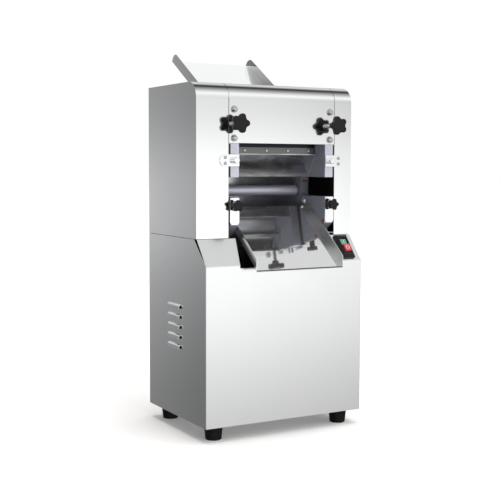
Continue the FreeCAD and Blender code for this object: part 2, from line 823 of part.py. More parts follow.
def front_cheek_plates():
    """Thin plates on the slides that carry the front scraper and the guide plate."""
    margin = cheek_margin
    half = block_height / 2
    front = front_roller_y - scraper_bar_offset - scraper_bar_thickness - scraper_lip - margin
    foot_y = front_roller_y + guide_foot_offset
    foot_z = roller_z - guide_foot_drop
    bend_y = front_roller_y + guide_bend_offset + 2 * margin
    top_y = front_roller_y + guide_top_offset + margin
    points = [(front, scraper_bar_top_z + margin), (foot_y - margin, foot_z), (foot_y + margin, foot_z),
              (bend_y, roller_z - guide_bend_drop), (top_y, roller_z - guide_top_drop),
              (block_back_y, roller_z - half), (block_back_y, roller_z + half),
              (block_front_y, roller_z + half), (block_front_y, roller_z - half)]
    plates = []
    for side in (-1, 1):
        x0, x1 = cheek_x(side)
        plate = plate_x(points, x0, x1)
        hole = rod_x(journal_radius + cheek_hole_gap, x0 - 1, x1 + 1, front_roller_y, roller_z)
        plates.append(plate.cut(hole))
    return Part.makeCompound(plates)


def front_scraper_bar():
    face_y = front_roller_y - scraper_bar_offset - scraper_bar_thickness
    back_y = face_y + scraper_bar_thickness
    x0 = cheek_x(-1)[1]
    x1 = cheek_x(1)[0]
    upright = box(x0, x1, face_y, back_y, scraper_bar_bottom_z, scraper_bar_top_z)
    lip = box(x0, x1, face_y - scraper_lip, back_y, scraper_bar_bottom_z - scraper_bar_thickness,
              scraper_bar_bottom_z)
    bar = fuse([upright, lip])
    for x in scraper_screw_xs():
        bar = bar.cut(rod_y(screw_radius + hole_clearance, face_y - 1, back_y + 1, x, scraper_screw_z()))
    return bar


def scraper_screw_xs():
    step = mouth_width / scraper_screw_count
    return [mouth_left_x + step * (i + scraper_screw_share) for i in range(scraper_screw_count)]


def scraper_screw_z():
    return scraper_bar_bottom_z + scraper_bar_height / 2


def blade_top_z(offset):
    """Height of the roller's underside at this distance from its axis."""
    return roller_z - math.sqrt(roller_radius ** 2 - offset ** 2)


def front_scraper_blade():
    back_y = front_roller_y - scraper_bar_offset
    x0 = cheek_x(-1)[1]
    x1 = cheek_x(1)[0]
    offset = scraper_bar_offset - scraper_blade_thickness
    tip_z = blade_top_z(offset) - scraper_tip_gap
    blade = box(x0, x1, back_y, back_y + scraper_blade_thickness, scraper_bar_bottom_z, tip_z)
    for x in scraper_screw_xs():
        blade = blade.cut(rod_y(screw_radius + hole_clearance, back_y - 1, back_y + scraper_lip, x,
                                scraper_screw_z()))
    return blade


def pan_screw(seat, inward, grip):
    """Pan-head screw with the underside of its head at seat and its shank along inward."""
    head = Part.makeCylinder(screw_head_radius, screw_head_height, FreeCAD.Vector(0, 0, -screw_head_height))
    rim = [e for e in head.Edges if e.BoundBox.ZMax < 1e-3 - screw_head_height]
    head = head.makeFillet(screw_head_rounding, rim)
    shank = Part.makeCylinder(screw_radius, grip + 1, FreeCAD.Vector(0, 0, -1))
    screw = fuse([head, shank])
    screw.Placement = FreeCAD.Placement(seat, FreeCAD.Rotation(FreeCAD.Vector(0, 0, 1), inward))
    return screw


def front_scraper_screws():
    seat = front_roller_y - scraper_bar_offset - scraper_bar_thickness
    grip = scraper_bar_thickness + scraper_blade_thickness
    seats = [FreeCAD.Vector(x, seat, scraper_screw_z()) for x in scraper_screw_xs()]
    return Part.makeCompound([pan_screw(point, BACKWARD, grip) for point in seats])


def dough_guide_plate():
    path = [(front_roller_y + guide_foot_offset, roller_z - guide_foot_drop),
            (front_roller_y + guide_bend_offset, roller_z - guide_bend_drop),
            (front_roller_y + guide_top_offset, roller_z - guide_top_drop)]
    return bent_sheet(path, sheet, cheek_x(-1)[1], cheek_x(1)[0])


# Gap screws and star knobs

def gap_screw(x, stand_off):
    knob_back_y = slope_depth - stand_off + gap_knob_thickness
    collar_front_y = block_front_y + gap_neck_length + hole_clearance
    stem = rod_y(gap_screw_radius, knob_back_y + gap_hub_length, collar_front_y + 1, x, roller_z)
    collar = rod_y(gap_collar_radius, collar_front_y, collar_front_y + gap_collar_thickness, x, roller_z)
    return fuse([stem, collar])


def star(radius, y0, y1, x, z, turn):
    """Star knob outline of five round lobes joined by hollow arcs, between two Y planes."""
    lobe = radius * lobe_share
    reach = radius - lobe
    hollow = radius * hollow_share
    fifth = math.radians(36)
    hollow_reach = reach * math.cos(fifth) + math.sqrt((lobe + hollow) ** 2 - (reach * math.sin(fifth)) ** 2)
    edges = []

    def at(distance, angle):
        return FreeCAD.Vector(x + distance * math.sin(angle), y0, z + distance * math.cos(angle))

    for i in range(5):
        middle = math.radians(turn + 72 * i)
        centre = at(reach, middle)
        before = at(hollow_reach, middle - fifth)
        after = at(hollow_reach, middle + fifth)
        first = centre + (before - centre).normalize() * lobe
        last = centre + (after - centre).normalize() * lobe
        edges.append(Part.Arc(first, at(radius, middle), last).toShape())
        following = at(reach, middle + 2 * fifth)
        joined = following + (after - following).normalize() * lobe
        edges.append(Part.Arc(last, at(hollow_reach - hollow, middle + fifth), joined).toShape())
    body = Part.Face(Part.Wire(edges)).extrude(FreeCAD.Vector(0, y1 - y0, 0))
    rims = [e for e in body.Edges if abs(e.CenterOfMass.y - y0) < 1e-3 or abs(e.CenterOfMass.y - y1) < 1e-3]
    return body.makeFillet(radius * knob_rounding_share, rims)


def gap_knob(x, stand_off, turn):
    front = slope_depth - stand_off
    back = front + gap_knob_thickness
    body = star(gap_knob_radius, front, back, x, roller_z, turn)
    hub = Part.makeCone(gap_hub_radius, gap_hub_end_radius, gap_hub_length,
                        FreeCAD.Vector(x, back, roller_z), BACKWARD)
    return fuse([body, hub])


# Clamps for the cutter

def clamp_strap(side):
    """Strap with a slot for its stud, a little off the strap's middle."""
    x = left_centre_x if side < 0 else right_centre_x
    left = x - side * strap_shift - strap_width / 2
    right = left + strap_width
    top = strap_bottom_z + strap_height
    points = [(left, strap_bottom_z), (right, strap_bottom_z), (right, top), (left, top)]
    front = strap_back_y - strap_thickness
    corners = {0: strap_foot_corner, 1: strap_foot_corner, 2: strap_corner, 3: strap_corner}
    strap = plate_y(points, front, strap_back_y, corners)
    low = clamp_knob_z - strap_lift
    high = clamp_knob_z + strap_drop
    slot = fuse([rod_y(strap_slot_radius, front - 1, strap_back_y + 1, x, low),
                 rod_y(strap_slot_radius, front - 1, strap_back_y + 1, x, high),
                 box(x - strap_slot_radius, x + strap_slot_radius, front - 1, strap_back_y + 1, low, high)])
    return strap.cut(slot)


def clamp_knob(x, turn):
    front = slope_depth - clamp_knob_stand_off
    back = front + clamp_knob_thickness
    hub_back = strap_back_y - strap_thickness - clamp_hub_gap
    body = star(clamp_knob_radius, front, back, x, clamp_knob_z, turn)
    hub = rod_y(clamp_hub_radius, back - 1, hub_back, x, clamp_knob_z)
    stud = rod_y(clamp_stud_radius, hub_back - 1, slope_depth + clamp_stud_grip, x, clamp_knob_z)
    return fuse([body, hub, stud])


def lug_screws(side):
    inner_x = mouth_left_x if side < 0 else mouth_right_x
    x = inner_x + side * (lug_length - lug_height / 2)
    return [(x, lug_z - lug_screw_spacing / 2), (x, lug_z + lug_screw_spacing / 2)]


def cutter_lugs():
    lugs = []
    for side in (-1, 1):
        inner = mouth_left_x if side < 0 else mouth_right_x
        outer = inner + side * lug_length
        centre = left_centre_x if side < 0 else right_centre_x
        low, high = lug_z - lug_height / 2, lug_z + lug_height / 2
        points = [(inner, low), (outer, low), (outer, high), (inner, high)]
        front = slope_depth - lug_thickness
        lug = plate_y(points, front, slope_depth, {1: lug_height / 2 - tiny, 2: lug_height / 2 - tiny})
        for x, z in lug_screws(side):
            lug = lug.cut(rod_y(screw_radius + hole_clearance, front - 1, slope_depth + 1, x, z))
        post = rod_y(post_radius, front - post_length, front + 1, centre, lug_z)
        rim = [e for e in post.Edges if abs(e.BoundBox.YMax - post.BoundBox.YMin) < 1e-3]
        post = post.makeChamfer(post_bevel, rim)
        stud = rod_y(post_stud_radius, front, slope_depth + post_stud_length, centre, lug_z)
        lugs.append(fuse([lug, post, stud]))
    return Part.makeCompound(lugs)


# Outfeed tray

def tray_point(along, up):
    """Point in (Y, Z) of the tray, along its floor from the lip and up square to it."""
    angle = math.radians(tray_angle)
    pivot = (tray_length, tray_pivot_lift)
    along = along - pivot[0]
    up = up - pivot[1]
    return (tray_pivot_y + along * math.cos(angle) - up * math.sin(angle),
            tray_pivot_z + along * math.sin(angle) + up * math.cos(angle))


def outfeed_tray():
    lean = math.tan(math.radians(tray_angle))
    floor_end = tray_length - tray_ear_radius
    floor = plate_x([tray_point(0, -sheet), tray_point(floor_end, -sheet), tray_point(floor_end, 0),
                     tray_point(0, 0)], tray_left_x, tray_right_x)
    hem = plate_x([tray_point(0, -2 * sheet), tray_point(tray_hem, -2 * sheet), tray_point(tray_hem, -sheet),
                   tray_point(0, -sheet)], tray_left_x, tray_right_x)
    wall = [tray_point(0, -sheet), tray_point(tray_length, -sheet), tray_point(tray_length, tray_wall_height),
            tray_point((tray_wall_height + sheet) * lean, tray_wall_height)]
    pieces = [floor, hem]
    for x0, side in ((tray_left_x, -1), (tray_right_x - sheet, 1)):
        pieces.append(plate_x(wall, x0, x0 + sheet, {3: tray_nose_radius}))
        pieces.append(rod_x(tray_ear_radius, x0, x0 + sheet, tray_pivot_y, tray_pivot_z))
        pin_end = (mouth_left_x if side < 0 else mouth_right_x) + side * tray_pin_length
        pieces.append(rod_x(tray_pin_radius, min(x0, pin_end), max(x0 + sheet, pin_end),
                            tray_pivot_y, tray_pivot_z))
    return fuse(pieces)


def tray_rest():
    """Bent bracket inside the front panel that the tray leans on."""
    half = tray_rest_width / 2
    thick = tray_rest_thickness
    angle = math.radians(tray_angle)
    lip = tray_point(0, -sheet - tray_rest_gap)
    corner_z = lip[1] + (sheet + thick - lip[0]) * math.tan(angle)
    far = (sheet + thick + tray_rest_length * math.cos(angle), corner_z + tray_rest_length * math.sin(angle))
    path = [far, (sheet, corner_z - thick * math.tan(angle)), (sheet, fold_height - tray_rest_leg)]
    sheet_path = [path[2], path[1], path[0]]
    return bent_sheet(sheet_path, thick, mouth_centre_x - half, mouth_centre_x + half)


# Rollers and gears

def front_roller():
    barrel = rod_x(roller_radius, roller_left_x, roller_right_x, front_roller_y, roller_z)
    right_end = pair_gear_x + pair_gear_width + shaft_end
    journal = rod_x(journal_radius, wall_left_x - shaft_end, right_end, front_roller_y, roller_z)
    return fuse([barrel, journal])


def rear_roller():
    barrel = rod_x(roller_radius, roller_left_x, roller_right_x, rear_roller_y, roller_z)
    right_end = pair_gear_x + pair_gear_width + shaft_end
    journal = rod_x(journal_radius, drive_gear_left_x - shaft_end, right_end, rear_roller_y, roller_z)
    return fuse([barrel, journal])


def gear(module, teeth, x0, x1, y, z, first_tooth, bore):
    """Spur gear with involute flanks; one tooth points along first_tooth degrees in the (Y, Z) plane."""
    pitch = module * teeth / 2
    base = pitch * math.cos(math.radians(pressure_angle))
    tip = pitch + module
    root = pitch - dedendum * module

    def spread(radius):
        angle = math.acos(min(base / max(radius, base), 1.0))
        return math.tan(angle) - angle

    half_tooth = math.pi / (2 * teeth) - tooth_backlash / (2 * pitch)

    def half_angle(radius):
        return half_tooth + spread(pitch) - spread(radius)

    def at(radius, angle):
        return FreeCAD.Vector(x0, y + radius * math.cos(angle), z + radius * math.sin(angle))

    start = max(base, root)
    middle = (start + tip) / 2
    edges = []
    for i in range(teeth):
        centre = math.radians(first_tooth) + 2 * math.pi * i / teeth
        next_centre = centre + 2 * math.pi / teeth
        low = half_angle(start)
        if root < start:
            edges.append(Part.LineSegment(at(root, centre - low), at(start, centre - low)).toShape())
        edges.append(Part.Arc(at(start, centre - low), at(middle, centre - half_angle(middle)),
                              at(tip, centre - half_angle(tip))).toShape())
        edges.append(Part.LineSegment(at(tip, centre - half_angle(tip)),
                                      at(tip, centre + half_angle(tip))).toShape())
        edges.append(Part.Arc(at(tip, centre + half_angle(tip)), at(middle, centre + half_angle(middle)),
                              at(start, centre + low)).toShape())
        if root < start:
            edges.append(Part.LineSegment(at(start, centre + low), at(root, centre + low)).toShape())
        inner = min(root, start)
        edges.append(Part.LineSegment(at(inner, centre + low), at(inner, next_centre - low)).toShape())
    blank = Part.Face(Part.Wire(edges)).extrude(FreeCAD.Vector(x1 - x0, 0, 0))
    return blank.cut(rod_x(bore, x0 - 1, x1 + 1, y, z))


def front_roller_gear():
    return gear(pair_gear_module, pair_gear_teeth, pair_gear_x, pair_gear_x + pair_gear_width,
                front_roller_y, roller_z, 0.0, journal_radius)


def rear_roller_gear():
    return gear(pair_gear_module, pair_gear_teeth, pair_gear_x, pair_gear_x + pair_gear_width,
                rear_roller_y, roller_z, 180.0 + 180.0 / pair_gear_teeth, journal_radius)


def rear_drive_gear():
    wheel = gear(drive_module, drive_gear_teeth, drive_gear_left_x, drive_gear_right_x,
                 rear_roller_y, roller_z, pinion_direction, journal_radius)
    pitch = drive_module * drive_gear_teeth / 2
    rim = pitch - dedendum * drive_module - wheel_rim
    hub = journal_radius + wheel_hub_wall
    recess = (drive_gear_width - web_thickness) / 2
    for x0, x1 in ((drive_gear_left_x - 1, drive_gear_left_x + recess),
                   (drive_gear_right_x - recess, drive_gear_right_x + 1)):
        wheel = wheel.cut(ring_x(rim, hub, x0, x1, rear_roller_y, roller_z))
    middle = (rim + hub) / 2
    for i in range(wheel_hole_count):
        angle = 2 * math.pi * i / wheel_hole_count
        y = rear_roller_y + middle * math.cos(angle)
        z = roller_z + middle * math.sin(angle)
        wheel = wheel.cut(rod_x(wheel_hole_radius, drive_gear_left_x - 1, drive_gear_right_x + 1, y, z))
    return wheel


def pinion_shaft():
    half_tooth_turn = 180.0 / pinion_teeth
    teeth = gear(drive_module, pinion_teeth, drive_gear_left_x - pinion_overlap,
                 drive_gear_right_x + pinion_overlap, pinion_y, pinion_z,
                 pinion_direction + 180.0 + half_tooth_turn, pinion_shaft_radius)
    shaft = rod_x(pinion_shaft_radius, pulley_left_x - shaft_end, mouth_left_x - 1, pinion_y, pinion_z)
    return fuse([teeth, shaft])


# Belt drive

def groove_section(radius, y, z):
    """V-groove cutter for a pulley of this radius, turned about X."""
    slant = math.tan(math.radians(groove_half_angle))
    half_top = groove_top_width / 2
    half_bottom = half_top - groove_depth * slant
    above = 1.0
    points = [FreeCAD.Vector(belt_x - half_top - above * slant, y, z + radius + above),
              FreeCAD.Vector(belt_x + half_top + above * slant, y, z + radius + above),
              FreeCAD.Vector(belt_x + half_bottom, y, z + radius - groove_depth),
              FreeCAD.Vector(belt_x - half_bottom, y, z + radius - groove_depth)]
    face = Part.Face(Part.makePolygon(points + points[:1]))
    return face.revolve(FreeCAD.Vector(0, y, z), FreeCAD.Vector(1, 0, 0), 360)


def large_pulley():
    wheel = rod_x(large_pulley_radius, pulley_left_x, pulley_right_x, pinion_y, pinion_z)
    wheel = wheel.cut(groove_section(large_pulley_radius, pinion_y, pinion_z))
    rim = large_pulley_radius - groove_depth - wheel_rim
    hub = pinion_shaft_radius + wheel_hub_wall
    recess = (pulley_width - web_thickness) / 2
    for x0, x1 in ((pulley_left_x - 1, pulley_left_x + recess),
                   (pulley_right_x - recess, pulley_right_x + 1)):
        wheel = wheel.cut(ring_x(rim, hub, x0, x1, pinion_y, pinion_z))
    middle = (rim + hub) / 2
    for i in range(wheel_hole_count):
        angle = 2 * math.pi * i / wheel_hole_count
        y = pinion_y + middle * math.cos(angle)
        z = pinion_z + middle * math.sin(angle)
        wheel = wheel.cut(rod_x(wheel_hole_radius, pulley_left_x - 1, pulley_right_x + 1, y, z))
    return wheel.cut(rod_x(pinion_shaft_radius, pulley_left_x - 1, pulley_right_x + 1, pinion_y, pinion_z))


def motor_pulley():
    wheel = rod_x(motor_pulley_radius, pulley_left_x, pulley_right_x, motor_y, motor_z)
    wheel = wheel.cut(groove_section(motor_pulley_radius, motor_y, motor_z))
    return wheel.cut(rod_x(motor_shaft_radius, pulley_left_x - 1, pulley_right_x + 1, motor_y, motor_z))


def drive_belt():
    """V-belt round both pulleys: its outer loop less its inner loop, with slanted sides."""
    centres = ((motor_y, motor_z, motor_pulley_radius), (pinion_y, pinion_z, large_pulley_radius))
    slant = math.tan(math.radians(groove_half_angle))
    distance = math.hypot(pinion_y - motor_y, pinion_z - motor_z)
    lean = math.atan2(pinion_z - motor_z, pinion_y - motor_y)
    open_angle = math.acos((motor_pulley_radius - large_pulley_radius) / distance)
    half_top = belt_top_width / 2
    half_bottom = half_top - belt_height * slant

    def section(y, z, radius, angle):
        outer = radius - belt_inset
        inner = outer - belt_height
        points = []
        for r, x in ((outer, -half_top), (outer, half_top), (inner, half_bottom), (inner, -half_bottom)):
            points.append(FreeCAD.Vector(belt_x + x, y + r * math.cos(angle), z + r * math.sin(angle)))
        return Part.makePolygon(points + points[:1])

    small, large = centres
    pieces = []
    for sign in (1, -1):
        angle = lean + sign * open_angle
        pieces.append(Part.makeLoft([section(*small, angle), section(*large, angle)], True, True))
    wraps = ((large, lean - open_angle, 2 * open_angle),
             (small, lean + open_angle, 2 * math.pi - 2 * open_angle))
    for centre, start, sweep in wraps:
        face = Part.Face(section(*centre, start))
        pieces.append(face.revolve(FreeCAD.Vector(0, centre[0], centre[1]), FreeCAD.Vector(1, 0, 0),
                                   math.degrees(sweep)))
    return fuse(pieces)


def bracket_posts():
    """Posts of the outboard bracket, clear of the large gear."""
    places = []
    for degrees in bracket_post_directions:
        angle = math.radians(degrees)
        y = pinion_y + bracket_reach * math.cos(angle)
        z = pinion_z + bracket_reach * math.sin(angle)
        places.append((y, z))
    return places


def countershaft_bracket():
    hub = rod_x(pinion_shaft_radius + bush_wall + bracket_hub_wall, bracket_left_x, bracket_right_x,
                pinion_y, pinion_z)
    pieces = [hub]
    for y, z in bracket_posts():
        pieces.append(rod_x(bracket_post_radius, bracket_left_x, wall_left_x, y, z))
        length = math.hypot(y - pinion_y, z - pinion_z)
        arm = Part.makeBox(bracket_thickness, length, 2 * bracket_post_radius,
                           FreeCAD.Vector(bracket_left_x, pinion_y, pinion_z - bracket_post_radius))
        arm.rotate(FreeCAD.Vector(0, pinion_y, pinion_z), FreeCAD.Vector(1, 0, 0),
                   math.degrees(math.atan2(z - pinion_z, y - pinion_y)))
        pieces.append(arm)
        pieces.append(rod_x(bracket_stud_radius, wall_left_x - 1, wall_left_x + bracket_stud_length, y, z))
    body = fuse(pieces)
    return body.cut(rod_x(pinion_shaft_radius + bush_wall, bracket_left_x - 1, bracket_right_x + 1,
                          pinion_y, pinion_z))


# Motor

def motor_bolt_places():
    middle = (motor_body_left_x + motor_body_right_x) / 2
    return [(middle + sx * motor_foot_spacing_x / 2, motor_y + sy * motor_foot_spacing_y / 2)
            for sx in (-1, 1) for sy in (-1, 1)]


def motor_housing():
    left, right = motor_body_left_x, motor_body_right_x
    pieces = [rod_x(motor_body_radius, left, right, motor_y, motor_z)]
    for x0, x1 in ((left, left + motor_bell_length), (right - motor_bell_length, right)):
        pieces.append(rod_x(motor_bell_radius, x0, x1, motor_y, motor_z))
    fin_root = motor_body_radius - motor_fin_thickness
    for i in range(motor_fin_count):
        corner = FreeCAD.Vector(left + motor_bell_length, motor_y - motor_fin_thickness / 2,
                                motor_z + fin_root)
        fin = Part.makeBox(right - left - 2 * motor_bell_length, motor_fin_thickness,
                           motor_fin_height + motor_fin_thickness, corner)
        turn = 360.0 * (i + 0.5) / motor_fin_count
        fin.rotate(FreeCAD.Vector(0, motor_y, motor_z), FreeCAD.Vector(1, 0, 0), turn)
        pieces.append(fin)
    middle = (left + right) / 2
    half_x = motor_foot_length / 2
    foot_top = motor_base_top_z + motor_foot_thickness
    for sign in (-1, 1):
        y = motor_y + sign * motor_foot_spacing_y / 2
        half_y = motor_foot_width / 2
        pieces.append(box(middle - half_x, middle + half_x, y - half_y, y + half_y,
                          motor_base_top_z, foot_top))
        web_y = motor_y + sign * motor_web_y
        pieces.append(box(middle - half_x, middle + half_x, min(web_y, y), max(web_y, y),
                          motor_base_top_z, foot_top + motor_web_height))
    body = fuse(pieces)
    rotor_space = motor_rotor_radius + motor_air_gap
    cuts = [rod_x(rotor_space, left + motor_bell_length, right - motor_bell_length, motor_y, motor_z),
            rod_x(motor_shaft_radius + shaft_clearance, left - 1, right + 1, motor_y, motor_z)]
    for x, y in motor_bolt_places():
        cuts.append(rod_z(bolt_radius + hole_clearance, motor_base_top_z - 1, foot_top, x, y))
        cuts.append(rod_z(hex_head_radius + hex_head_room, foot_top, foot_top + motor_web_height + 1, x, y))
    return body.cut(Part.makeCompound(cuts))


def motor_fan_cowl():
    x0 = motor_body_right_x - cowl_overlap
    x1 = motor_body_right_x + cowl_length
    shell = rod_x(motor_bell_radius + sheet, x0, x1, motor_y, motor_z)
    shell = shell.cut(rod_x(motor_bell_radius, x0 - 1, x1 - sheet, motor_y, motor_z))
    shell = shell.cut(rod_x(cowl_centre_hole_radius, x1 - 2 * sheet, x1 + 1, motor_y, motor_z))
    for ring in cowl_ring_radii:
        count = int(2 * math.pi * ring / cowl_hole_pitch)
        for i in range(count):
            angle = 2 * math.pi * i / count
            y = motor_y + ring * math.cos(angle)
            z = motor_z + ring * math.sin(angle)
            shell = shell.cut(rod_x(cowl_hole_radius, x1 - 2 * sheet, x1 + 1, y, z))
    return shell


def motor_terminal_box():
    middle = (motor_body_left_x + motor_body_right_x) / 2
    bottom = motor_z + motor_body_radius + motor_fin_height
    half_x, half_y = terminal_box_length / 2, terminal_box_width / 2
    base = box(middle - half_x, middle + half_x, motor_y - half_y, motor_y + half_y,
               bottom, bottom + terminal_box_height)
    edges = [e for e in base.Edges if abs(e.Vertexes[0].Z - e.Vertexes[1].Z) > 1]
    return base.makeFillet(terminal_box_corner, edges)


def motor_plate():
    """Channel on the cabinet floor that carries the motor."""
    left = motor_body_left_x - motor_plate_margin
    right = motor_body_right_x + motor_plate_margin
    front = motor_y - motor_foot_spacing_y / 2 - motor_plate_side
    back = motor_y + motor_foot_spacing_y / 2 + motor_plate_side
    top = motor_base_top_z
    channel = box(left, right, front, back, floor_top_z, top)
    channel = channel.cut(box(left - 1, right + 1, front + motor_base_thickness, back - motor_base_thickness,
                              floor_top_z - 1, top - motor_base_thickness))
    for x, y in motor_bolt_places():
        channel = channel.cut(rod_z(bolt_radius + hole_clearance, floor_top_z, top + 1, x, y))
    return channel


def motor_shaft():
    left, right = motor_body_left_x + motor_bell_length, motor_body_right_x - motor_bell_length
    hub_x = motor_body_right_x + fan_stand_off
    tip_x = hub_x + fan_width
    shaft = rod_x(motor_shaft_radius, pulley_left_x - shaft_end, tip_x, motor_y, motor_z)
    core = rod_x(motor_rotor_radius, left + shaft_end, right - shaft_end, motor_y, motor_z)
    fan = [rod_x(fan_hub_radius, hub_x, tip_x, motor_y, motor_z)]
    for i in range(fan_blade_count):
        corner = FreeCAD.Vector(hub_x, motor_y - fan_blade_thickness / 2, motor_z + motor_shaft_radius)
        blade = Part.makeBox(fan_width, fan_blade_thickness, fan_radius - motor_shaft_radius, corner)
        turn = 360.0 * i / fan_blade_count
        blade.rotate(FreeCAD.Vector(0, motor_y, motor_z), FreeCAD.Vector(1, 0, 0), turn)
        fan.append(blade)
    return fuse([shaft, core] + fan)


# Transfer roller

def transfer_roller():
    barrel = rod_x(transfer_radius, roller_left_x, roller_right_x, transfer_y, transfer_z)
    journal = rod_x(transfer_journal_radius, wall_left_x + shaft_end, wall_right_x - shaft_end,
                    transfer_y, transfer_z)
    return fuse([barrel, journal])


# Rear scraper

def rear_scraper_bar():
    face_y = rear_roller_y + scraper_bar_offset
    upright = box(mouth_left_x, mouth_right_x, face_y, face_y + scraper_bar_thickness,
                  scraper_bar_bottom_z, scraper_bar_top_z)
    foot = box(mouth_left_x, mouth_right_x, face_y, face_y + scraper_bar_thickness + scraper_lip,
               scraper_bar_bottom_z - scraper_bar_thickness, scraper_bar_bottom_z)
    bar = fuse([upright, foot])
    for x in scraper_screw_xs():
        bar = bar.cut(rod_y(screw_radius + hole_clearance, face_y - 1, face_y + scraper_lip, x,
                            scraper_screw_z()))
    return bar


def rear_scraper_blade():
    face_y = rear_roller_y + scraper_bar_offset
    offset = scraper_bar_offset - scraper_blade_thickness
    blade = box(mouth_left_x, mouth_right_x, face_y - scraper_blade_thickness, face_y,
                scraper_bar_bottom_z, blade_top_z(offset) - scraper_tip_gap)
    for x in scraper_screw_xs():
        blade = blade.cut(rod_y(screw_radius + hole_clearance, face_y - scraper_lip, face_y + 1, x,
                                scraper_screw_z()))
    return blade


# Frame, feet and fasteners

def post_corners():
    back_y = rear_inner_y - angle_width
    right = rail_right_x - angle_width
    return [(rail_left_x, front_post_y), (rail_left_x, back_y), (right, front_post_y), (right, back_y)]


def foot_places():
    x = half_width - foot_inset
    return [(sx * x, y) for sx in (-1, 1) for y in (foot_inset, cabinet_depth - foot_inset)]


def square_tube(x0, x1, y0, y1, z0, z1, axis):
    """Square tube along one axis, with walls of the frame's steel."""
    wall = angle_thickness
    tube = box(x0, x1, y0, y1, z0, z1)
    inset_x, inset_y, inset_z = (-1 if axis == along else wall for along in "xyz")
    return tube.cut(box(x0 + inset_x, x1 - inset_x, y0 + inset_y, y1 - inset_y, z0 + inset_z, z1 - inset_z))


def base_frame():
    wall = angle_thickness
    x, y0, y1 = side_inner_x, sheet, rear_inner_y
    z = foot_height
    ring = box(-x, x, y0, y1, z, z + angle_width)
    ring = ring.cut(box(-x + wall, x - wall, y0 + wall, y1 - wall, z + wall, z + angle_width + 1))
    inner = angle_width
    ring = ring.cut(box(-x + inner, x - inner, y0 + inner, y1 - inner, z - 1, z + wall + 1))
    pieces = [ring]
    for gx in (-x + wall / 2, x - wall / 2 - gusset_size):
        for gy in (y0 + wall / 2, y1 - wall / 2 - gusset_size):
            pieces.append(box(gx, gx + gusset_size, gy, gy + gusset_size, z, z + wall))
    for px, py in post_corners():
        pieces.append(square_tube(px, px + angle_width, py, py + angle_width,
                                  z + wall / 2, waist_height, "z"))
    low = waist_height - angle_width
    for px in (rail_left_x, rail_right_x - angle_width):
        pieces.append(square_tube(px, px + angle_width, front_post_y + angle_width,
                                  rear_inner_y - angle_width, low, waist_height, "y"))
    for py in (front_beam_y, rear_beam_y):
        pieces.append(square_tube(rail_left_x + angle_width, rail_right_x - angle_width, py, py + angle_width,
                                  low, waist_height, "x"))
    frame = fuse(pieces)
    cuts = [rod_z(bolt_radius + hole_clearance, z - 1, z + wall + 1, px, py) for px, py in foot_places()]
    for px, pz in lower_rear_screws():
        cuts.append(rod_y(screw_radius + hole_clearance, rear_inner_y - screw_grip, rear_inner_y + 1, px, pz))
    for px, py in wall_bolt_places():
        cuts.append(rod_z(bolt_radius + hole_clearance, low - 1, waist_height + 1, px, py))
    return frame.cut(Part.makeCompound(cuts))


def rubber_feet():
    feet = []
    for x, y in foot_places():
        foot = Part.makeCone(foot_bottom_radius, foot_top_radius, foot_height, FreeCAD.Vector(x, y, 0))
        rim = [e for e in foot.Edges if e.BoundBox.ZMax < 1e-3]
        foot = foot.makeFillet(foot_rounding, rim)
        foot = foot.cut(rod_z(foot_recess_radius, -1, foot_recess_depth, x, y))
        feet.append(foot.cut(rod_z(bolt_radius + hole_clearance, 0, foot_height + 1, x, y)))
    return Part.makeCompound(feet)


def wall_bolt_places():
    ys = (front_beam_y + angle_width / 2, rear_beam_y + angle_width / 2)
    return [(x, y) for x in (left_centre_x, right_centre_x) for y in ys]


def hex_bolts():
    """Bolts of the feet, with their nuts, and bolts of the wall plates and the motor."""
    bolts = []
    for x, y in foot_places():
        head_top = foot_recess_depth
        nut_z = foot_height + angle_thickness
        bolts.append(fuse([hexagon(hex_head_radius, head_top - hex_head_height, head_top, x, y),
                           rod_z(bolt_radius, head_top - 1, nut_z + hex_head_height + shaft_end, x, y),
                           hexagon(hex_head_radius, nut_z, nut_z + hex_head_height, x, y)]))
    for x, y in wall_bolt_places():
        seat = waist_height - angle_width
        bolts.append(fuse([hexagon(hex_head_radius, seat - hex_head_height, seat, x, y),
                           rod_z(bolt_radius, seat - 1, waist_height + wall_bolt_grip - 1, x, y)]))
    for x, y in motor_bolt_places():
        seat = motor_base_top_z + motor_foot_thickness
        end = motor_base_top_z - motor_base_thickness - shaft_end
        bolts.append(fuse([hexagon(hex_head_radius, seat, seat + hex_head_height, x, y),
                           rod_z(bolt_radius, end, seat + 1, x, y)]))
    return Part.makeCompound(bolts)


def lower_rear_screws():
    xs = (rail_left_x + angle_width / 2, rail_right_x - angle_width / 2)
    low = foot_height + angle_width + rear_screw_inset
    high = waist_height - angle_width - rear_screw_inset
    return [(x, z) for x in xs for z in (low, (low + high) / 2, high)]


def upper_rear_screws():
    zs = (waist_height + rear_screw_inset, wall_top_z - rear_screw_inset)
    return [(x, z) for x in (left_centre_x, right_centre_x) for z in zs]


def chute_screws():
    xs = ((mouth_left_x + left_centre_x) / 2, (mouth_right_x + right_centre_x) / 2)
    return [(x, chute_tab_y + share * chute_tab_length) for x in xs for share in (0.25, 0.75)]


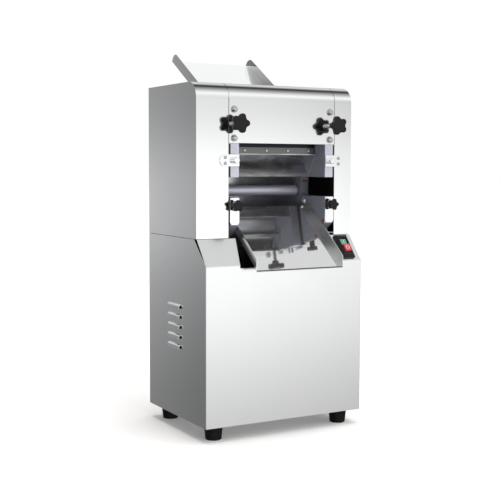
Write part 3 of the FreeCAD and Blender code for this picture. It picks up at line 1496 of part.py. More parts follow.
def pan_head_screws():
    screws = []
    for side in (-1, 1):
        for x, z in lug_screws(side):
            screws.append(pan_screw(FreeCAD.Vector(x, slope_depth - lug_thickness, z), BACKWARD,
                                    lug_thickness + sheet + shaft_end))
    for x, z in lower_rear_screws() + upper_rear_screws():
        screws.append(pan_screw(FreeCAD.Vector(x, cabinet_depth, z), FORWARD, sheet + screw_grip - 1))
    for x, y in chute_screws():
        screws.append(pan_screw(FreeCAD.Vector(x, y, wall_top_z + sheet), DOWN, sheet + screw_grip - 1))
    seat = rear_roller_y + scraper_bar_offset + scraper_bar_thickness
    for x in scraper_screw_xs():
        screws.append(pan_screw(FreeCAD.Vector(x, seat, scraper_screw_z()), FORWARD,
                                scraper_bar_thickness + scraper_blade_thickness))
    return Part.makeCompound(screws)


def cable_gland():
    nose_y = cabinet_depth + gland_flange_thickness
    flange = rod_y(gland_flange_radius, cabinet_depth, nose_y, gland_x, gland_z)
    stem = rod_y(gland_radius, rear_inner_y - gland_stem_length, nose_y, gland_x, gland_z)
    nose = Part.makeCone(gland_radius, gland_nose_radius, gland_nose_length,
                         FreeCAD.Vector(gland_x, nose_y, gland_z), BACKWARD)
    body = fuse([flange, stem, nose])
    return body.cut(rod_y(gland_bore, rear_inner_y - gland_stem_length - 1, nose_y + gland_nose_length + 1,
                          gland_x, gland_z))


# Switch

def button_places():
    """Middles of the start and stop buttons up the slope, one above the other in the pocket."""
    total = start_button_length + button_spacing + stop_button_length
    return (total - start_button_length) / 2, (stop_button_length - total) / 2


def switch_housing():
    half_x, half_y = switch_width / 2, switch_length / 2
    raised = box(-half_x, half_x, -half_y, half_y, 0, switch_height)
    rims = [e for e in raised.Edges if e.BoundBox.ZMin > switch_height - 1e-3]
    raised = raised.makeChamfer(switch_bevel, rims)
    body_x, body_y = switch_body_width / 2, switch_body_length / 2
    body = box(-body_x, body_x, -body_y, body_y, -switch_depth_inside, 1)
    pocket_x = switch_pocket_width / 2
    pocket_y = switch_pocket_length / 2
    pocket = box(-pocket_x, pocket_x, -pocket_y, pocket_y, switch_height - switch_pocket_depth,
                 switch_height + 1)
    shell = fuse([raised, body]).cut(pocket)
    for middle, length in zip(button_places(), (start_button_length, stop_button_length)):
        half = button_width / 2 + button_gap
        reach = length / 2 + button_gap
        shell = shell.cut(box(-half, half, middle - reach, middle + reach, button_well_z(), switch_height))
    return on_slope(shell, switch_x, switch_up_slope)


def button_well_z():
    return switch_floor_thickness - switch_depth_inside


def button(middle, length, rise):
    half = button_width / 2
    top = switch_height + rise
    cap = box(-half, half, middle - length / 2, middle + length / 2, -button_skirt, top)
    rims = [e for e in cap.Edges if e.BoundBox.ZMin > top - 1e-3]
    cap = cap.makeFillet(button_rounding, rims)
    half_stem = button_stem / 2
    stem = box(-half_stem, half_stem, middle - half_stem, middle + half_stem,
               button_well_z() + button_travel + button_gap, 1 - button_skirt)
    return on_slope(fuse([cap, stem]), switch_x, switch_up_slope)


def start_button():
    return button(button_places()[0], start_button_length, start_button_rise)


def stop_button():
    return button(button_places()[1], stop_button_length, stop_button_rise)


# All pieces by name

def all_pieces():
    return {
        "base_frame": base_frame(),
        "rubber_feet": rubber_feet(),
        "hex_bolts": hex_bolts(),
        "lower_front_panel": lower_front_panel(),
        "lower_left_panel": lower_side_panel(-1),
        "lower_right_panel": lower_side_panel(1),
        "lower_rear_panel": lower_rear_panel(),
        "floor_plate": floor_plate(),
        "upper_left_cover": upper_side_cover(-1),
        "upper_right_cover": upper_side_cover(1),
        "upper_centre_cover": upper_centre_cover(),
        "upper_rear_cover": upper_rear_cover(),
        "infeed_chute": infeed_chute(),
        "left_wall_plate": wall_plate(-1),
        "right_wall_plate": wall_plate(1),
        "wall_tie_bars": wall_tie_bars(),
        "bronze_bushes": bronze_bushes(),
        "slide_caps": slide_caps(),
        "cap_bolts": cap_bolts(),
        "rear_scraper_bar": rear_scraper_bar(),
        "rear_scraper_blade": rear_scraper_blade(),
        "pan_head_screws": pan_head_screws(),
        "cutter_lugs": cutter_lugs(),
        "countershaft_bracket": countershaft_bracket(),
        "motor_housing": motor_housing(),
        "motor_fan_cowl": motor_fan_cowl(),
        "motor_terminal_box": motor_terminal_box(),
        "motor_plate": motor_plate(),
        "drive_belt": drive_belt(),
        "switch_housing": switch_housing(),
        "cable_gland": cable_gland(),
        "tray_rest": tray_rest(),
        "front_bearing_blocks": front_bearing_blocks(),
        "front_roller_bushes": front_roller_bushes(),
        "front_cheek_plates": front_cheek_plates(),
        "front_scraper_bar": front_scraper_bar(),
        "front_scraper_blade": front_scraper_blade(),
        "front_scraper_screws": front_scraper_screws(),
        "dough_guide_plate": dough_guide_plate(),
        "front_roller": front_roller(),
        "front_roller_gear": front_roller_gear(),
        "rear_roller": rear_roller(),
        "rear_roller_gear": rear_roller_gear(),
        "rear_drive_gear": rear_drive_gear(),
        "pinion_shaft": pinion_shaft(),
        "large_pulley": large_pulley(),
        "motor_shaft": motor_shaft(),
        "motor_pulley": motor_pulley(),
        "transfer_roller": transfer_roller(),
        "left_gap_knob": gap_knob(left_centre_x, left_knob_stand_off, left_knob_turn),
        "right_gap_knob": gap_knob(right_centre_x, right_knob_stand_off, right_knob_turn),
        "left_gap_screw": gap_screw(left_centre_x, left_knob_stand_off),
        "right_gap_screw": gap_screw(right_centre_x, right_knob_stand_off),
        "left_clamp_knob": clamp_knob(left_centre_x, left_clamp_turn),
        "right_clamp_knob": clamp_knob(right_centre_x, right_clamp_turn),
        "left_clamp_strap": clamp_strap(-1),
        "right_clamp_strap": clamp_strap(1),
        "outfeed_tray": outfeed_tray(),
        "start_button": start_button(),
        "stop_button": stop_button(),
    }


def write_pieces():
    os.makedirs("parts", exist_ok=True)
    pieces = all_pieces()
    front_y = min(shape.BoundBox.YMin for shape in pieces.values())
    back_y = max(shape.BoundBox.YMax for shape in pieces.values())
    to_middle = FreeCAD.Vector(0, -(front_y + back_y) / 2, 0)
    print("pieces", len(pieces), "front", front_y, "back", back_y, "shift", to_middle.y)
    for name, shape in pieces.items():
        moved = shape.copy()
        moved.translate(to_middle)
        if not moved.isValid():
            raise ValueError(name + " is not a valid solid")
        moved.exportStep(os.path.join("parts", name + ".step"))


write_pieces()
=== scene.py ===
"""A floor-standing noodle machine, dressed piece by piece around its packed frame.

Places are in millimetres from the floor under the middle of the cabinet's front:
X to the operator's right, Y backwards, Z up.
"""

import math

import bmesh
import bpy
from mathutils import Matrix, Vector


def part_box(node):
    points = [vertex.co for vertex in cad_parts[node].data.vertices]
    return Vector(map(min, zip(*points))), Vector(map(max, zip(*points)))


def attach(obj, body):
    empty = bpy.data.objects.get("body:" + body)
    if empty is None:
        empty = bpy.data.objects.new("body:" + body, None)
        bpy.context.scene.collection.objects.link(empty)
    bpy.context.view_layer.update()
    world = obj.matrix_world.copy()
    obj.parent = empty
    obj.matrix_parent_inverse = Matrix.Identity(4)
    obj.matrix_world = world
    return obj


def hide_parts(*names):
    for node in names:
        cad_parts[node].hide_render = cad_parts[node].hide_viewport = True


bl_info = {
    "name": "Noodle Machine",
    "version": (1, 0, 0),
    "blender": (4, 5, 0),
    "location": "3D View > Sidebar > Noodle Machine",
    "description": "Dresses the frame of a floor-standing noodle machine and sets up its studio",
    "category": "Add Mesh",
}

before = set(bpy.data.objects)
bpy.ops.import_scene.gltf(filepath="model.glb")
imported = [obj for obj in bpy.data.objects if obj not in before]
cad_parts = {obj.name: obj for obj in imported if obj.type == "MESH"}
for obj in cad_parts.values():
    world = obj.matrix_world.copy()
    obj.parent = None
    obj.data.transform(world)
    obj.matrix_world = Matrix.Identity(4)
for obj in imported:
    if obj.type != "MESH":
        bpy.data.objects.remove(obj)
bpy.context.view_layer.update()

MM = 0.001
FRONT_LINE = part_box("lower_front_panel")[0].y
# The cabinet: thickness and extent of its sheets, then the heights of its feet, fold, waist and top
SHEET, HALF_WIDTH, DEPTH = 1.5, 250.0, 368.0
REAR = DEPTH - SHEET
FOOT_TOP, FOLD, WAIST, TOP = 41.0, 477.0, 547.0, 970.0
# The slope between the fold and the waist
SLOPE_DEPTH = 57.0
SLOPE_ANGLE = math.atan2(WAIST - FOLD, SLOPE_DEPTH)
UP_SLOPE = (0, math.cos(SLOPE_ANGLE), math.sin(SLOPE_ANGLE))
# The upper covers: lower edge, how far outside the wall plates their seams lie, and the top of the window
UPPER_BOTTOM, SEAM_OUTSIDE, WINDOW_TOP = WAIST + 0.8, 2.0, 806.5
# Places across of the wall plates' faces, which bound the mouth, and of the posts on them
WALL_LEFT, MOUTH_LEFT, MOUTH_RIGHT, WALL_RIGHT = -150.0, -120.0, 161.0, 191.0
LEFT_POST, RIGHT_POST = -135.0, 176.0
# Heights of the press rollers, the cutter lugs and the clamp studs
ROLLER_Z, LUG_Z, CLAMP_Z = 859.0, 759.5, 636.0
# Slants in degrees, and the places on which the tray and the chute are set
TRAY_SLANT, TRAY_HINGE = 38.5, (165.0, 643.0)
CHUTE_SLANT, CHUTE_FOOT, CHUTE_TOP = 32.0, 272.0, 352.0
CHUTE_LEFT, CHUTE_RIGHT = -110.5, 151.5
# The switch's place across and up the slope, and how far it stands out
SWITCH_X, SWITCH_UP, SWITCH_HEIGHT = 209.5, 46.0, 12.0
# Thickness of the straps, lugs and scraper bar, and of the star knobs
PLATE = 3.0
KNOB_THICKNESS, SMALL_KNOB_THICKNESS = 16.0, 11.0
# The two sides: sign, middle of the post, edge of the mouth and outer face of the wall plate
SIDES = {"left": (-1, LEFT_POST, MOUTH_LEFT, WALL_LEFT), "right": (1, RIGHT_POST, MOUTH_RIGHT, WALL_RIGHT)}
# The knobs of each side: how far the large one stands off the cover, its turn and the small one's in degrees
KNOBS = (("left", LEFT_POST, 44.0, 18.0, 2.0), ("right", RIGHT_POST, 52.0, 54.0, 16.0))
UPRIGHT = (0, 0, 0)
TOWARD_FRONT = (math.pi / 2, 0, 0)
TOWARD_BACK = (-math.pi / 2, 0, 0)
TOWARD_RIGHT = (0, math.pi / 2, 0)


# Places and the picking of faces, edges and corners


def place(x, y, z):
    """The point in the frame, in metres, of a place in millimetres."""
    return Vector((x * MM, y * MM + FRONT_LINE, z * MM))


def measured(point):
    """The place in millimetres of a point in the frame."""
    return Vector((point.x / MM, (point.y - FRONT_LINE) / MM, point.z / MM))


def reach_of(name):
    """How far a node of the frame reaches from left to right, in millimetres."""
    return tuple(measured(corner).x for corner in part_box(name))


def near(a, b):
    return abs(a - b) < 0.1


def at(x=None, y=None, z=None, along=None):
    """A test for what lies at these coordinates and, where an axis is given, runs along it."""
    wanted = [(axis, value) for axis, value in enumerate((x, y, z)) if value is not None]
    return lambda p, way: (all(near(p[axis], value) for axis, value in wanted)
                           and (along is None or abs(getattr(way, along)) > 0.99))


def everywhere(p, way):
    return True


def deselect_everything():
    if bpy.context.mode != "OBJECT":
        bpy.ops.object.mode_set(mode="OBJECT")
    bpy.ops.object.select_all(action="DESELECT")


def take(piece):
    deselect_everything()
    piece.select_set(True)
    bpy.context.view_layer.objects.active = piece


def edit(piece):
    take(piece)
    bpy.ops.object.mode_set(mode="EDIT")


def pick_all():
    bpy.ops.mesh.select_all(action="SELECT")


def turn_faces(piece):
    """Makes the faces of a piece agree, outwards where it is closed."""
    edit(piece)
    pick_all()
    bpy.ops.mesh.normals_make_consistent(inside=False)


def fix_place(piece):
    take(piece)
    bpy.ops.object.transform_apply(location=True, rotation=True, scale=True)


def called(name, piece=None):
    """Names a piece, or the one that was just added, and its mesh."""
    piece = piece or bpy.context.object
    piece.name = piece.data.name = name
    return piece


def pick(piece, kind, test):
    """Selects the corners, edges or faces in edit mode whose middle and direction pass the test."""
    bpy.ops.mesh.select_mode(type=kind)
    bpy.ops.mesh.select_all(action="DESELECT")
    mesh = bmesh.from_edit_mesh(piece.data)
    found = 0
    for part in {"VERT": mesh.verts, "EDGE": mesh.edges, "FACE": mesh.faces}[kind]:
        if kind == "VERT":
            middle, way = part.co, part.normal
        elif kind == "EDGE":
            a, b = (corner.co for corner in part.verts)
            middle, way = (a + b) / 2, (b - a).normalized()
        else:
            middle, way = part.calc_center_median(), part.normal
        if test(measured(middle), way):
            part.select_set(True)
            found += 1
    mesh.select_flush_mode()
    bmesh.update_edit_mesh(piece.data)
    if not found:
        raise RuntimeError(f"{piece.name}: no {kind.lower()} found where one was expected")


def score(piece, point, normal, test=everywhere, clear=False):
    """Cuts edges into the picked faces along a plane, and can clear what lies behind the plane."""
    pick(piece, "FACE", test)
    bpy.ops.mesh.bisect(plane_co=place(*point), plane_no=normal, clear_inner=clear)


def score_at(piece, axis, values, test=everywhere):
    """Cuts edges into the picked faces square to an axis, at each value along it."""
    for value in values:
        normal = [float(letter == axis) for letter in "XYZ"]
        score(piece, [value * part for part in normal], normal, test)


def cut_out(piece, test):
    pick(piece, "FACE", test)
    bpy.ops.mesh.delete(type="FACE")


def round_edges(piece, test, radius, segments=4):
    """Bends the picked edges round; radius is measured back from the edge, in millimetres."""
    pick(piece, "EDGE", test)
    bpy.ops.mesh.bevel(offset=radius * MM, segments=segments, affect="EDGES")


def round_corners(piece, test, radius, segments=6):
    pick(piece, "VERT", test)
    bpy.ops.mesh.bevel(offset=radius * MM, segments=segments, affect="VERTICES")


def pull(x, y, z):
    """Extrudes what is picked by millimetres."""
    bpy.ops.mesh.extrude_region_move(TRANSFORM_OT_translate={"value": (x * MM, y * MM, z * MM)})


def swell(share, z=0.0):
    """Resizes what is picked about the upright axis through the origin."""
    bpy.ops.transform.resize(value=(share, share, 1), center_override=(0, 0, z * MM))


def modify(piece, kind, **values):
    """Adds a modifier with these values and applies it."""
    take(piece)
    modifier = piece.modifiers.new(kind.title(), kind)
    for name, value in values.items():
        setattr(modifier, name, value)
    bpy.ops.object.modifier_apply(modifier=modifier.name)


def thicken(piece, thickness=SHEET):
    """Gives a sheet its thickness on its inner side."""
    modify(piece, "SOLIDIFY", thickness=thickness * MM, offset=-1, use_even_offset=True)


def soften(piece, width, segments=2, angle=40):
    modify(piece, "BEVEL", width=width * MM, segments=segments, limit_method="ANGLE",
           angle_limit=math.radians(angle), use_clamp_overlap=True)


def drill(piece, cutter):
    modify(piece, "BOOLEAN", operation="DIFFERENCE", solver="EXACT", object=cutter)
    bpy.data.objects.remove(cutter)


def face_outwards(piece, test, outwards):
    """Turns all faces of an open sheet so that the picked ones look outwards."""
    turn_faces(piece)
    mesh = bmesh.from_edit_mesh(piece.data)
    faces = [face for face in mesh.faces if test(measured(face.calc_center_median()), face.normal)]
    if not faces:
        raise RuntimeError(f"{piece.name}: no face found to turn by")
    if max(faces, key=lambda face: face.calc_area()).normal.dot(Vector(outwards)) < 0:
        bpy.ops.mesh.flip_normals()


def made_solid(piece, test, outwards, softness, thickness=SHEET):
    """Gives an open sheet its thickness, away from where the picked faces look, and soft edges."""
    face_outwards(piece, test, outwards)
    thicken(piece, thickness)
    soften(piece, softness)


def joined(name, pieces):
    """Joins pieces into the first of them and names it."""
    deselect_everything()
    for piece in pieces:
        piece.select_set(True)
    bpy.context.view_layer.objects.active = pieces[0]
    bpy.ops.object.join()
    return called(name, pieces[0])


def copies(piece, *shifts):
    """Copies that take the place of a finished shape, each moved by (X, Y, Z) millimetres."""
    made = [copied(piece, *shift) for shift in shifts]
    bpy.data.objects.remove(piece)
    return made


def copied(piece, x=0.0, y=0.0, z=0.0):
    """A copy of a finished shape, with its own mesh, moved by millimetres."""
    take(piece)
    bpy.ops.object.duplicate(linked=False)
    copy = bpy.context.object
    copy.location = Vector((x, y, z)) * MM
    fix_place(copy)
    return copy


# Basic shapes


def plane(name, middle, turn, width, depth):
    """A flat sheet of a width and depth, turned about its middle."""
    deselect_everything()
    bpy.ops.mesh.primitive_plane_add(size=1, location=middle, rotation=turn)
    piece = called(name)
    piece.scale = (width, depth, 1)
    fix_place(piece)
    return piece


def flat_sheet(name, low, high):
    """A flat sheet between two opposite corners, square to the axis along which they agree."""
    a, b = place(*low), place(*high)
    size = b - a
    flat = min(range(3), key=lambda axis: abs(size[axis]))
    turn = (TOWARD_RIGHT, TOWARD_FRONT, UPRIGHT)[flat]
    sides = ((size.z, size.y), (size.x, size.z), (size.x, size.y))[flat]
    return plane(name, (a + b) / 2, turn, *sides)


def bent_sheet(name, path, start, stop, along="X"):
    """A sheet that follows a path of (Y, Z) places along X, or of (X, Z) places along Y."""
    def point(step, other=0):
        return place(other, *step) if along == "X" else place(step[0], other, step[1])

    middle = (start + stop) / 2
    a, b = point(path[0], middle), point(path[1], middle)
    run = b - a
    sides = [abs(stop - start) * MM, run.length]
    turn = (math.atan2(run.z, run.y), 0, 0)
    if along == "Y":
        sides.reverse()
        turn = (0, -math.atan2(run.z, run.x), 0)
    piece = plane(name, (a + b) / 2, turn, *sides)
    edit(piece)
    end = measured(b)
    pick(piece, "EDGE", lambda p, way: (p - end).length < 0.05)
    for before, after in zip(path[1:], path[2:]):
        bpy.ops.mesh.extrude_region_move(TRANSFORM_OT_translate={"value": point(after) - point(before)})
    return piece


def draw_out(rings):
    """Draws what is picked upwards from ring to ring, each (height, radius or a share of it)."""
    height, radius = rings[0]
    for new_height, new_radius in rings[1:]:
        pull(0, 0, new_height - height)
        swell(new_radius / radius, new_height)
        height, radius = new_height, new_radius


def turned(name, rings, turn, where, sides=48):
    """A round body drawn from ring to ring, each (distance along its axis, radius), then stood in place."""
    reach, radius = rings[0]
    deselect_everything()
    bpy.ops.mesh.primitive_circle_add(vertices=sides, radius=radius * MM, fill_type="NGON",
                                      location=(0, 0, reach * MM))
    piece = called(name)
    fix_place(piece)
    edit(piece)
    pick_all()
    draw_out(rings)
    stand(piece, turn, where)
    return piece


def stand(piece, turn, where, spin=0.0):
    """Turns a shape drawn upright about its own axis, leans that axis over and moves it to its place."""
    take(piece)
    piece.rotation_euler = (0, 0, -spin)
    bpy.ops.object.transform_apply(location=False, rotation=True, scale=False)
    piece.rotation_euler = turn
    piece.location = place(*where)
    fix_place(piece)


def lean(piece, degrees, about, to):
    """Tips a piece about the X axis through one (Y, Z) place, and brings that place to another."""
    angle = math.radians(degrees)
    turn = Matrix.Rotation(angle, 4, "X")
    piece.rotation_euler = (angle, 0, 0)
    piece.location = place(0, *to) - turn @ place(0, *about)
    fix_place(piece)


def rounded_rim(radius, height, rounding, steps=4):
    """Rings for the last part of a round body, whose rim is rounded."""
    angles = [math.pi / 2 * step / steps for step in range(steps + 1)]
    return [(height - rounding + rounding * math.sin(angle), radius - rounding + rounding * math.cos(angle))
            for angle in angles]


def block(name, low, high):
    """A block between two opposite corners, pulled up from its footprint."""
    piece = flat_sheet(name, low, (high[0], high[1], low[2]))
    edit(piece)
    pick_all()
    pull(0, 0, high[2] - low[2])
    turn_faces(piece)
    return piece


def smooth_over(piece):
    """Shades round stretches smooth and keeps flat faces flat."""
    take(piece)
    bpy.ops.object.shade_smooth_by_angle(angle=math.radians(32))
    modify(piece, "WEIGHTED_NORMAL", keep_sharp=True)


def hand_over(piece, body, slot, *nodes):
    """Gives a finished piece its body, the pieces of the frame that it stands for and its slot."""
    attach(piece, body)
    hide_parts(*nodes)


def dress(piece, body, slot, finish_name, *nodes):
    """Closes up a piece, gives it its finish and hands it to the frame."""
    edit(piece)
    pick_all()
    bpy.ops.mesh.remove_doubles(threshold=0.000001)
    bpy.ops.mesh.normals_make_consistent(inside=False)
    smooth_over(piece)
    piece.data.materials.clear()
    piece.data.materials.append(finish_called(finish_name))
    hand_over(piece, body, slot, *nodes)


def refinish(piece, finish_name, test):
    """Gives the picked faces of a finished piece another finish."""
    piece.data.materials.append(finish_called(finish_name))
    edit(piece)
    pick(piece, "FACE", test)
    piece.active_material_index = len(piece.data.materials) - 1
    bpy.ops.object.material_slot_assign()
    deselect_everything()


# Sizes and colours that a user may change


def length(name, text, value, most=0.1):
    return bpy.props.FloatProperty(name=name, description=text, default=value, min=0.00005, max=most,
                                   precision=4, subtype="DISTANCE", unit="LENGTH")


def colour(name, text, value):
    return bpy.props.FloatVectorProperty(name=name, description=text, default=value, min=0.0, max=1.0,
                                         size=3, subtype="COLOR")


class NoodleMachineSizes(bpy.types.PropertyGroup):
    """Sizes of the sheet work, the knobs and the fasteners."""

    fold_radius: length("Fold radius", "Radius of the bend between the front and the slope", 0.0014)
    top_radius: length("Top edge radius", "Radius of the rounded top front edge of the upper covers", 0.045)
    cover_seam: length("Cover seam", "Gap between the centre cover and the side covers", 0.0014, 0.002)
    louvre_bulge: length("Louvre bulge", "How far a louvre's lip stands out of the panel", 0.0075, 0.0075)
    louvre_pitch: length("Louvre pitch", "Distance from one louvre to the next", 0.0282)
    knob_radius: length("Large knob radius", "Reach of the lobes of the roller gap knobs", 0.027, 0.027)
    small_knob_radius: length("Small knob radius", "Reach of the lobes of the clamp knobs", 0.0165, 0.0165)
    knob_rounding: length("Knob rounding", "Radius round the rim of the large knobs", 0.0032, 0.006)
    thread_pitch: length("Thread pitch", "Travel of a gap screw for one turn", 0.00175)
    thread_depth: length("Thread depth", "Depth of the gap screws' thread", 0.0009, 0.002)
    tray_nose: length("Tray nose", "Rounding of the tray walls' front corners", 0.0045, 0.008)
    strap_softness: length("Strap edge", "Softened edge of the clamp straps and lugs", 0.0005, 0.001)


class NoodleMachineColours(bpy.types.PropertyGroup):
    """Colours of the metals, plastics and rubber."""

    front_steel: colour("Front sheet", "Polished sheet of the front panel and covers", (0.93, 0.935, 0.94))
    # Satin side sheet; its colour, darker than the front sheet's, is painted shade
    shaded_side_steel: colour("Side sheet", "Satin sheet of the side panels", (0.80, 0.81, 0.82))
    mirror_steel: colour("Mirror sheet", "Mirror finish of the tray and small plates", (0.90, 0.905, 0.91))
    # The tray walls' colour, darker than the tray floor's in the same sheet, is painted shade
    shaded_tray_wall_steel: colour("Tray walls", "Satin side walls of the tray", (0.66, 0.665, 0.67))
    roller_steel: colour("Rollers", "Ground steel of the press rollers", (0.80, 0.80, 0.84))
    guide_steel: colour("Guide sheet", "Bent guide plate under the rollers", (0.86, 0.87, 0.87))
    # Inner faces: the sheets' dull back side, its near-dark colour a painted shade
    shaded_inner_steel: colour("Inner faces", "Dull inner faces of the cabinet's sheets", (0.22, 0.225, 0.23))
    # The scraper bar's upright face gets a near-dark colour, a painted shade
    shaded_bar_steel: colour("Scraper bar", "Dull steel of the scraper bar's face", (0.20, 0.205, 0.205))
    # The wall plates' own paint shows on their front faces; the darker colour on their other faces is painted
    # shade
    wall_iron: colour("Wall plates", "Grey paint of the thick wall plates", (0.23, 0.235, 0.29))
    wall_edge: colour("Wall edges", "Ground front edges of the wall plates", (0.60, 0.62, 0.71))
    transfer_steel: colour("Transfer roller", "Dull ground steel of the transfer roller", (0.66, 0.66, 0.77))
    knob_black: colour("Knobs", "Black plastic of the star knobs", (0.008, 0.008, 0.009))
    rubber_black: colour("Rubber", "Black rubber of the feet", (0.005, 0.005, 0.0055))
    switch_black: colour("Switch", "Black plastic of the switch housing", (0.014, 0.013, 0.014))
    start_green: colour("Start button", "Green of the start button", (0.11, 0.36, 0.24))
    stop_red: colour("Stop button", "Red of the stop button", (0.56, 0.060, 0.085))
    primer: colour("Primer", "Orange-brown primer that shows in chips of the wall paint", (0.26, 0.07, 0.022))
    paint: colour("Frame paint", "Grey paint of the welded frame", (0.16, 0.17, 0.18))
    motor_paint: colour("Motor paint", "Paint of the motor", (0.05, 0.12, 0.25))
    floor: colour("Floor", "Pale floor of the studio", (0.84, 0.825, 0.81))


def sizes(name):
    """A size of the machine in millimetres."""
    return getattr(bpy.context.scene.noodle_machine_sizes, name) / MM


def tint(name):
    return (*getattr(bpy.context.scene.noodle_machine_colours, name), 1.0)


# Steps of the finishes' and the room's node trees


VECTOR, NUMBER, COLOUR = "NodeSocketVector", "NodeSocketFloat", "NodeSocketColor"
SHINE = "Specular IOR Level"
WHITE = (1, 1, 1, 1)


def feed(tree, slot, value):
    """Links an output to an input, or sets the input to a plain value."""
    if isinstance(value, bpy.types.NodeSocket):
        tree.links.new(value, slot)
    else:
        slot.default_value = value


def node(tree, kind, *values, **settings):
    """A node with its options and named inputs set, and its first inputs fed in their order."""
    made = tree.nodes.new(kind)
    for name, value in settings.items():
        if name in made.inputs:
            feed(tree, made.inputs[name], value)
        else:
            setattr(made, name, value)
    for slot, value in zip(made.inputs, values):
        feed(tree, slot, value)
    return made


def reckoned(tree, operation, *values):
    return node(tree, "ShaderNodeMath", *values, operation=operation).outputs[0]


def reckoned_vector(tree, operation, *values, **settings):
    return node(tree, "ShaderNodeVectorMath", *values, operation=operation, **settings).outputs[0]


def parts(tree, vector):
    """The X, Y and Z of a vector."""
    return node(tree, "ShaderNodeSeparateXYZ", vector).outputs


def noise(tree, spot, scale, detail, roughness=0.5, distortion=0.0):
    return node(tree, "ShaderNodeTexNoise", Vector=spot, Scale=scale, Detail=detail, Roughness=roughness,
                Distortion=distortion).outputs["Fac"]


def fading(tree, source, low, high, **options):
    """A mask that rises from none to one as a value goes from low to high."""
    ramp = node(tree, "ShaderNodeMapRange", **{"Value": source, "From Min": low, "From Max": high}, **options)
    return ramp.outputs["Result"]


def mixed(tree, factor, first, second):
    """Colour between two, each an output or a plain colour."""
    mix = node(tree, "ShaderNodeMix", factor, data_type="RGBA")
    feed(tree, mix.inputs[6], first)
    feed(tree, mix.inputs[7], second)
    return mix.outputs[2]


def toned(tree, source, stops):
    """A grey tone for a value, from (value, tone) stops."""
    low, high = stops[0][0], stops[-1][0]
    ramp = node(tree, "ShaderNodeValToRGB", fading(tree, source, low, high))
    while len(ramp.color_ramp.elements) < len(stops):
        ramp.color_ramp.elements.new(0.5)
    for element, (value, tone) in zip(ramp.color_ramp.elements, stops):
        element.position = (value - low) / (high - low)
        element.color = (tone, tone, tone, 1)
    return ramp.outputs["Color"]


# Effects that several finishes share


def brushed_grain(tree, given):
    """Fine lines of a polished or ground sheet: how much the roughness and the surface change along them."""
    lines = noise(tree, reckoned_vector(tree, "MULTIPLY", given["Vector"], given["Stretch"]), 1.0, 3.0, 0.6)
    change = reckoned(tree, "MULTIPLY", lines, noise(tree, given["Vector"], 6.0, 2.0))
    roughness = reckoned(tree, "MULTIPLY_ADD", change, given["Change"], given["Base roughness"])
    return {"Roughness": roughness, "Height": lines}


def fine_speckle(tree, given):
    """Fine unevenness of moulded, cast or painted surfaces: a shade of the colour, roughness and height."""
    grains = noise(tree, given["Vector"], given["Scale"], 4.0, 0.6)
    change = reckoned(tree, "MULTIPLY", reckoned(tree, "SUBTRACT", grains, 0.5), given["Change"])
    share = reckoned(tree, "ADD", change, 1.0)
    return {"Colour": reckoned_vector(tree, "SCALE", given["Colour"], Scale=share),
            "Roughness": reckoned(tree, "MULTIPLY", given["Base roughness"], share), "Height": grains}


def patch_mask(tree, given):
    """A mask that is one inside a box round a centre, with a ragged edge."""
    offset = reckoned_vector(tree, "SUBTRACT", given["Vector"], given["Centre"])
    share = reckoned_vector(tree, "DIVIDE", offset, given["Half size"])
    distance = node(tree, "ShaderNodeVectorMath", share, operation="LENGTH").outputs["Value"]
    grains = noise(tree, given["Vector"], 160.0, 3.0)
    ragged = reckoned(tree, "MULTIPLY_ADD", grains, given["Raggedness"], distance)
    return {"Mask": fading(tree, ragged, 1.35, 1.15)}


# Each effect: what builds it, its inputs with their first values, and its outputs
EFFECTS = {
    "Brushed grain": (brushed_grain, (("Vector", VECTOR, (0, 0, 0)), ("Stretch", VECTOR, (1, 1, 1)),
                                      ("Base roughness", NUMBER, 0.1), ("Change", NUMBER, 0.03)),
                      (("Roughness", NUMBER), ("Height", NUMBER))),
    "Fine speckle": (fine_speckle, (("Vector", VECTOR, (0, 0, 0)), ("Colour", COLOUR, (0.5, 0.5, 0.5, 1)),
                                    ("Scale", NUMBER, 400.0), ("Change", NUMBER, 0.1),
                                    ("Base roughness", NUMBER, 0.5)),
                     (("Colour", COLOUR), ("Roughness", NUMBER), ("Height", NUMBER))),
    "Patch mask": (patch_mask, (("Vector", VECTOR, (0, 0, 0)), ("Centre", VECTOR, (0, 0, 0)),
                                ("Half size", VECTOR, (0.01, 0.01, 0.01)), ("Raggedness", NUMBER, 0.6)),
                   (("Mask", NUMBER),)),
}


def effect(tree, name, **settings):
    """The outputs of a shared effect, whose node group is made when it is first asked for."""
    if name not in bpy.data.node_groups:
        build, inputs, outputs = EFFECTS[name]
        shared = bpy.data.node_groups.new(name, "ShaderNodeTree")
        for label, kind, value in inputs:
            shared.interface.new_socket(label, in_out="INPUT", socket_type=kind).default_value = value
        for label, kind in outputs:
            shared.interface.new_socket(label, in_out="OUTPUT", socket_type=kind)
        given = shared.nodes.new("NodeGroupInput").outputs
        node(shared, "NodeGroupOutput", **build(shared, given))
    return node(tree, "ShaderNodeGroup", node_tree=bpy.data.node_groups[name], **settings).outputs


# Finishes


UPRIGHT_GRAIN, LEVEL_GRAIN, TURNED_GRAIN = (900, 900, 12), (40, 900, 900), (900, 60, 60)
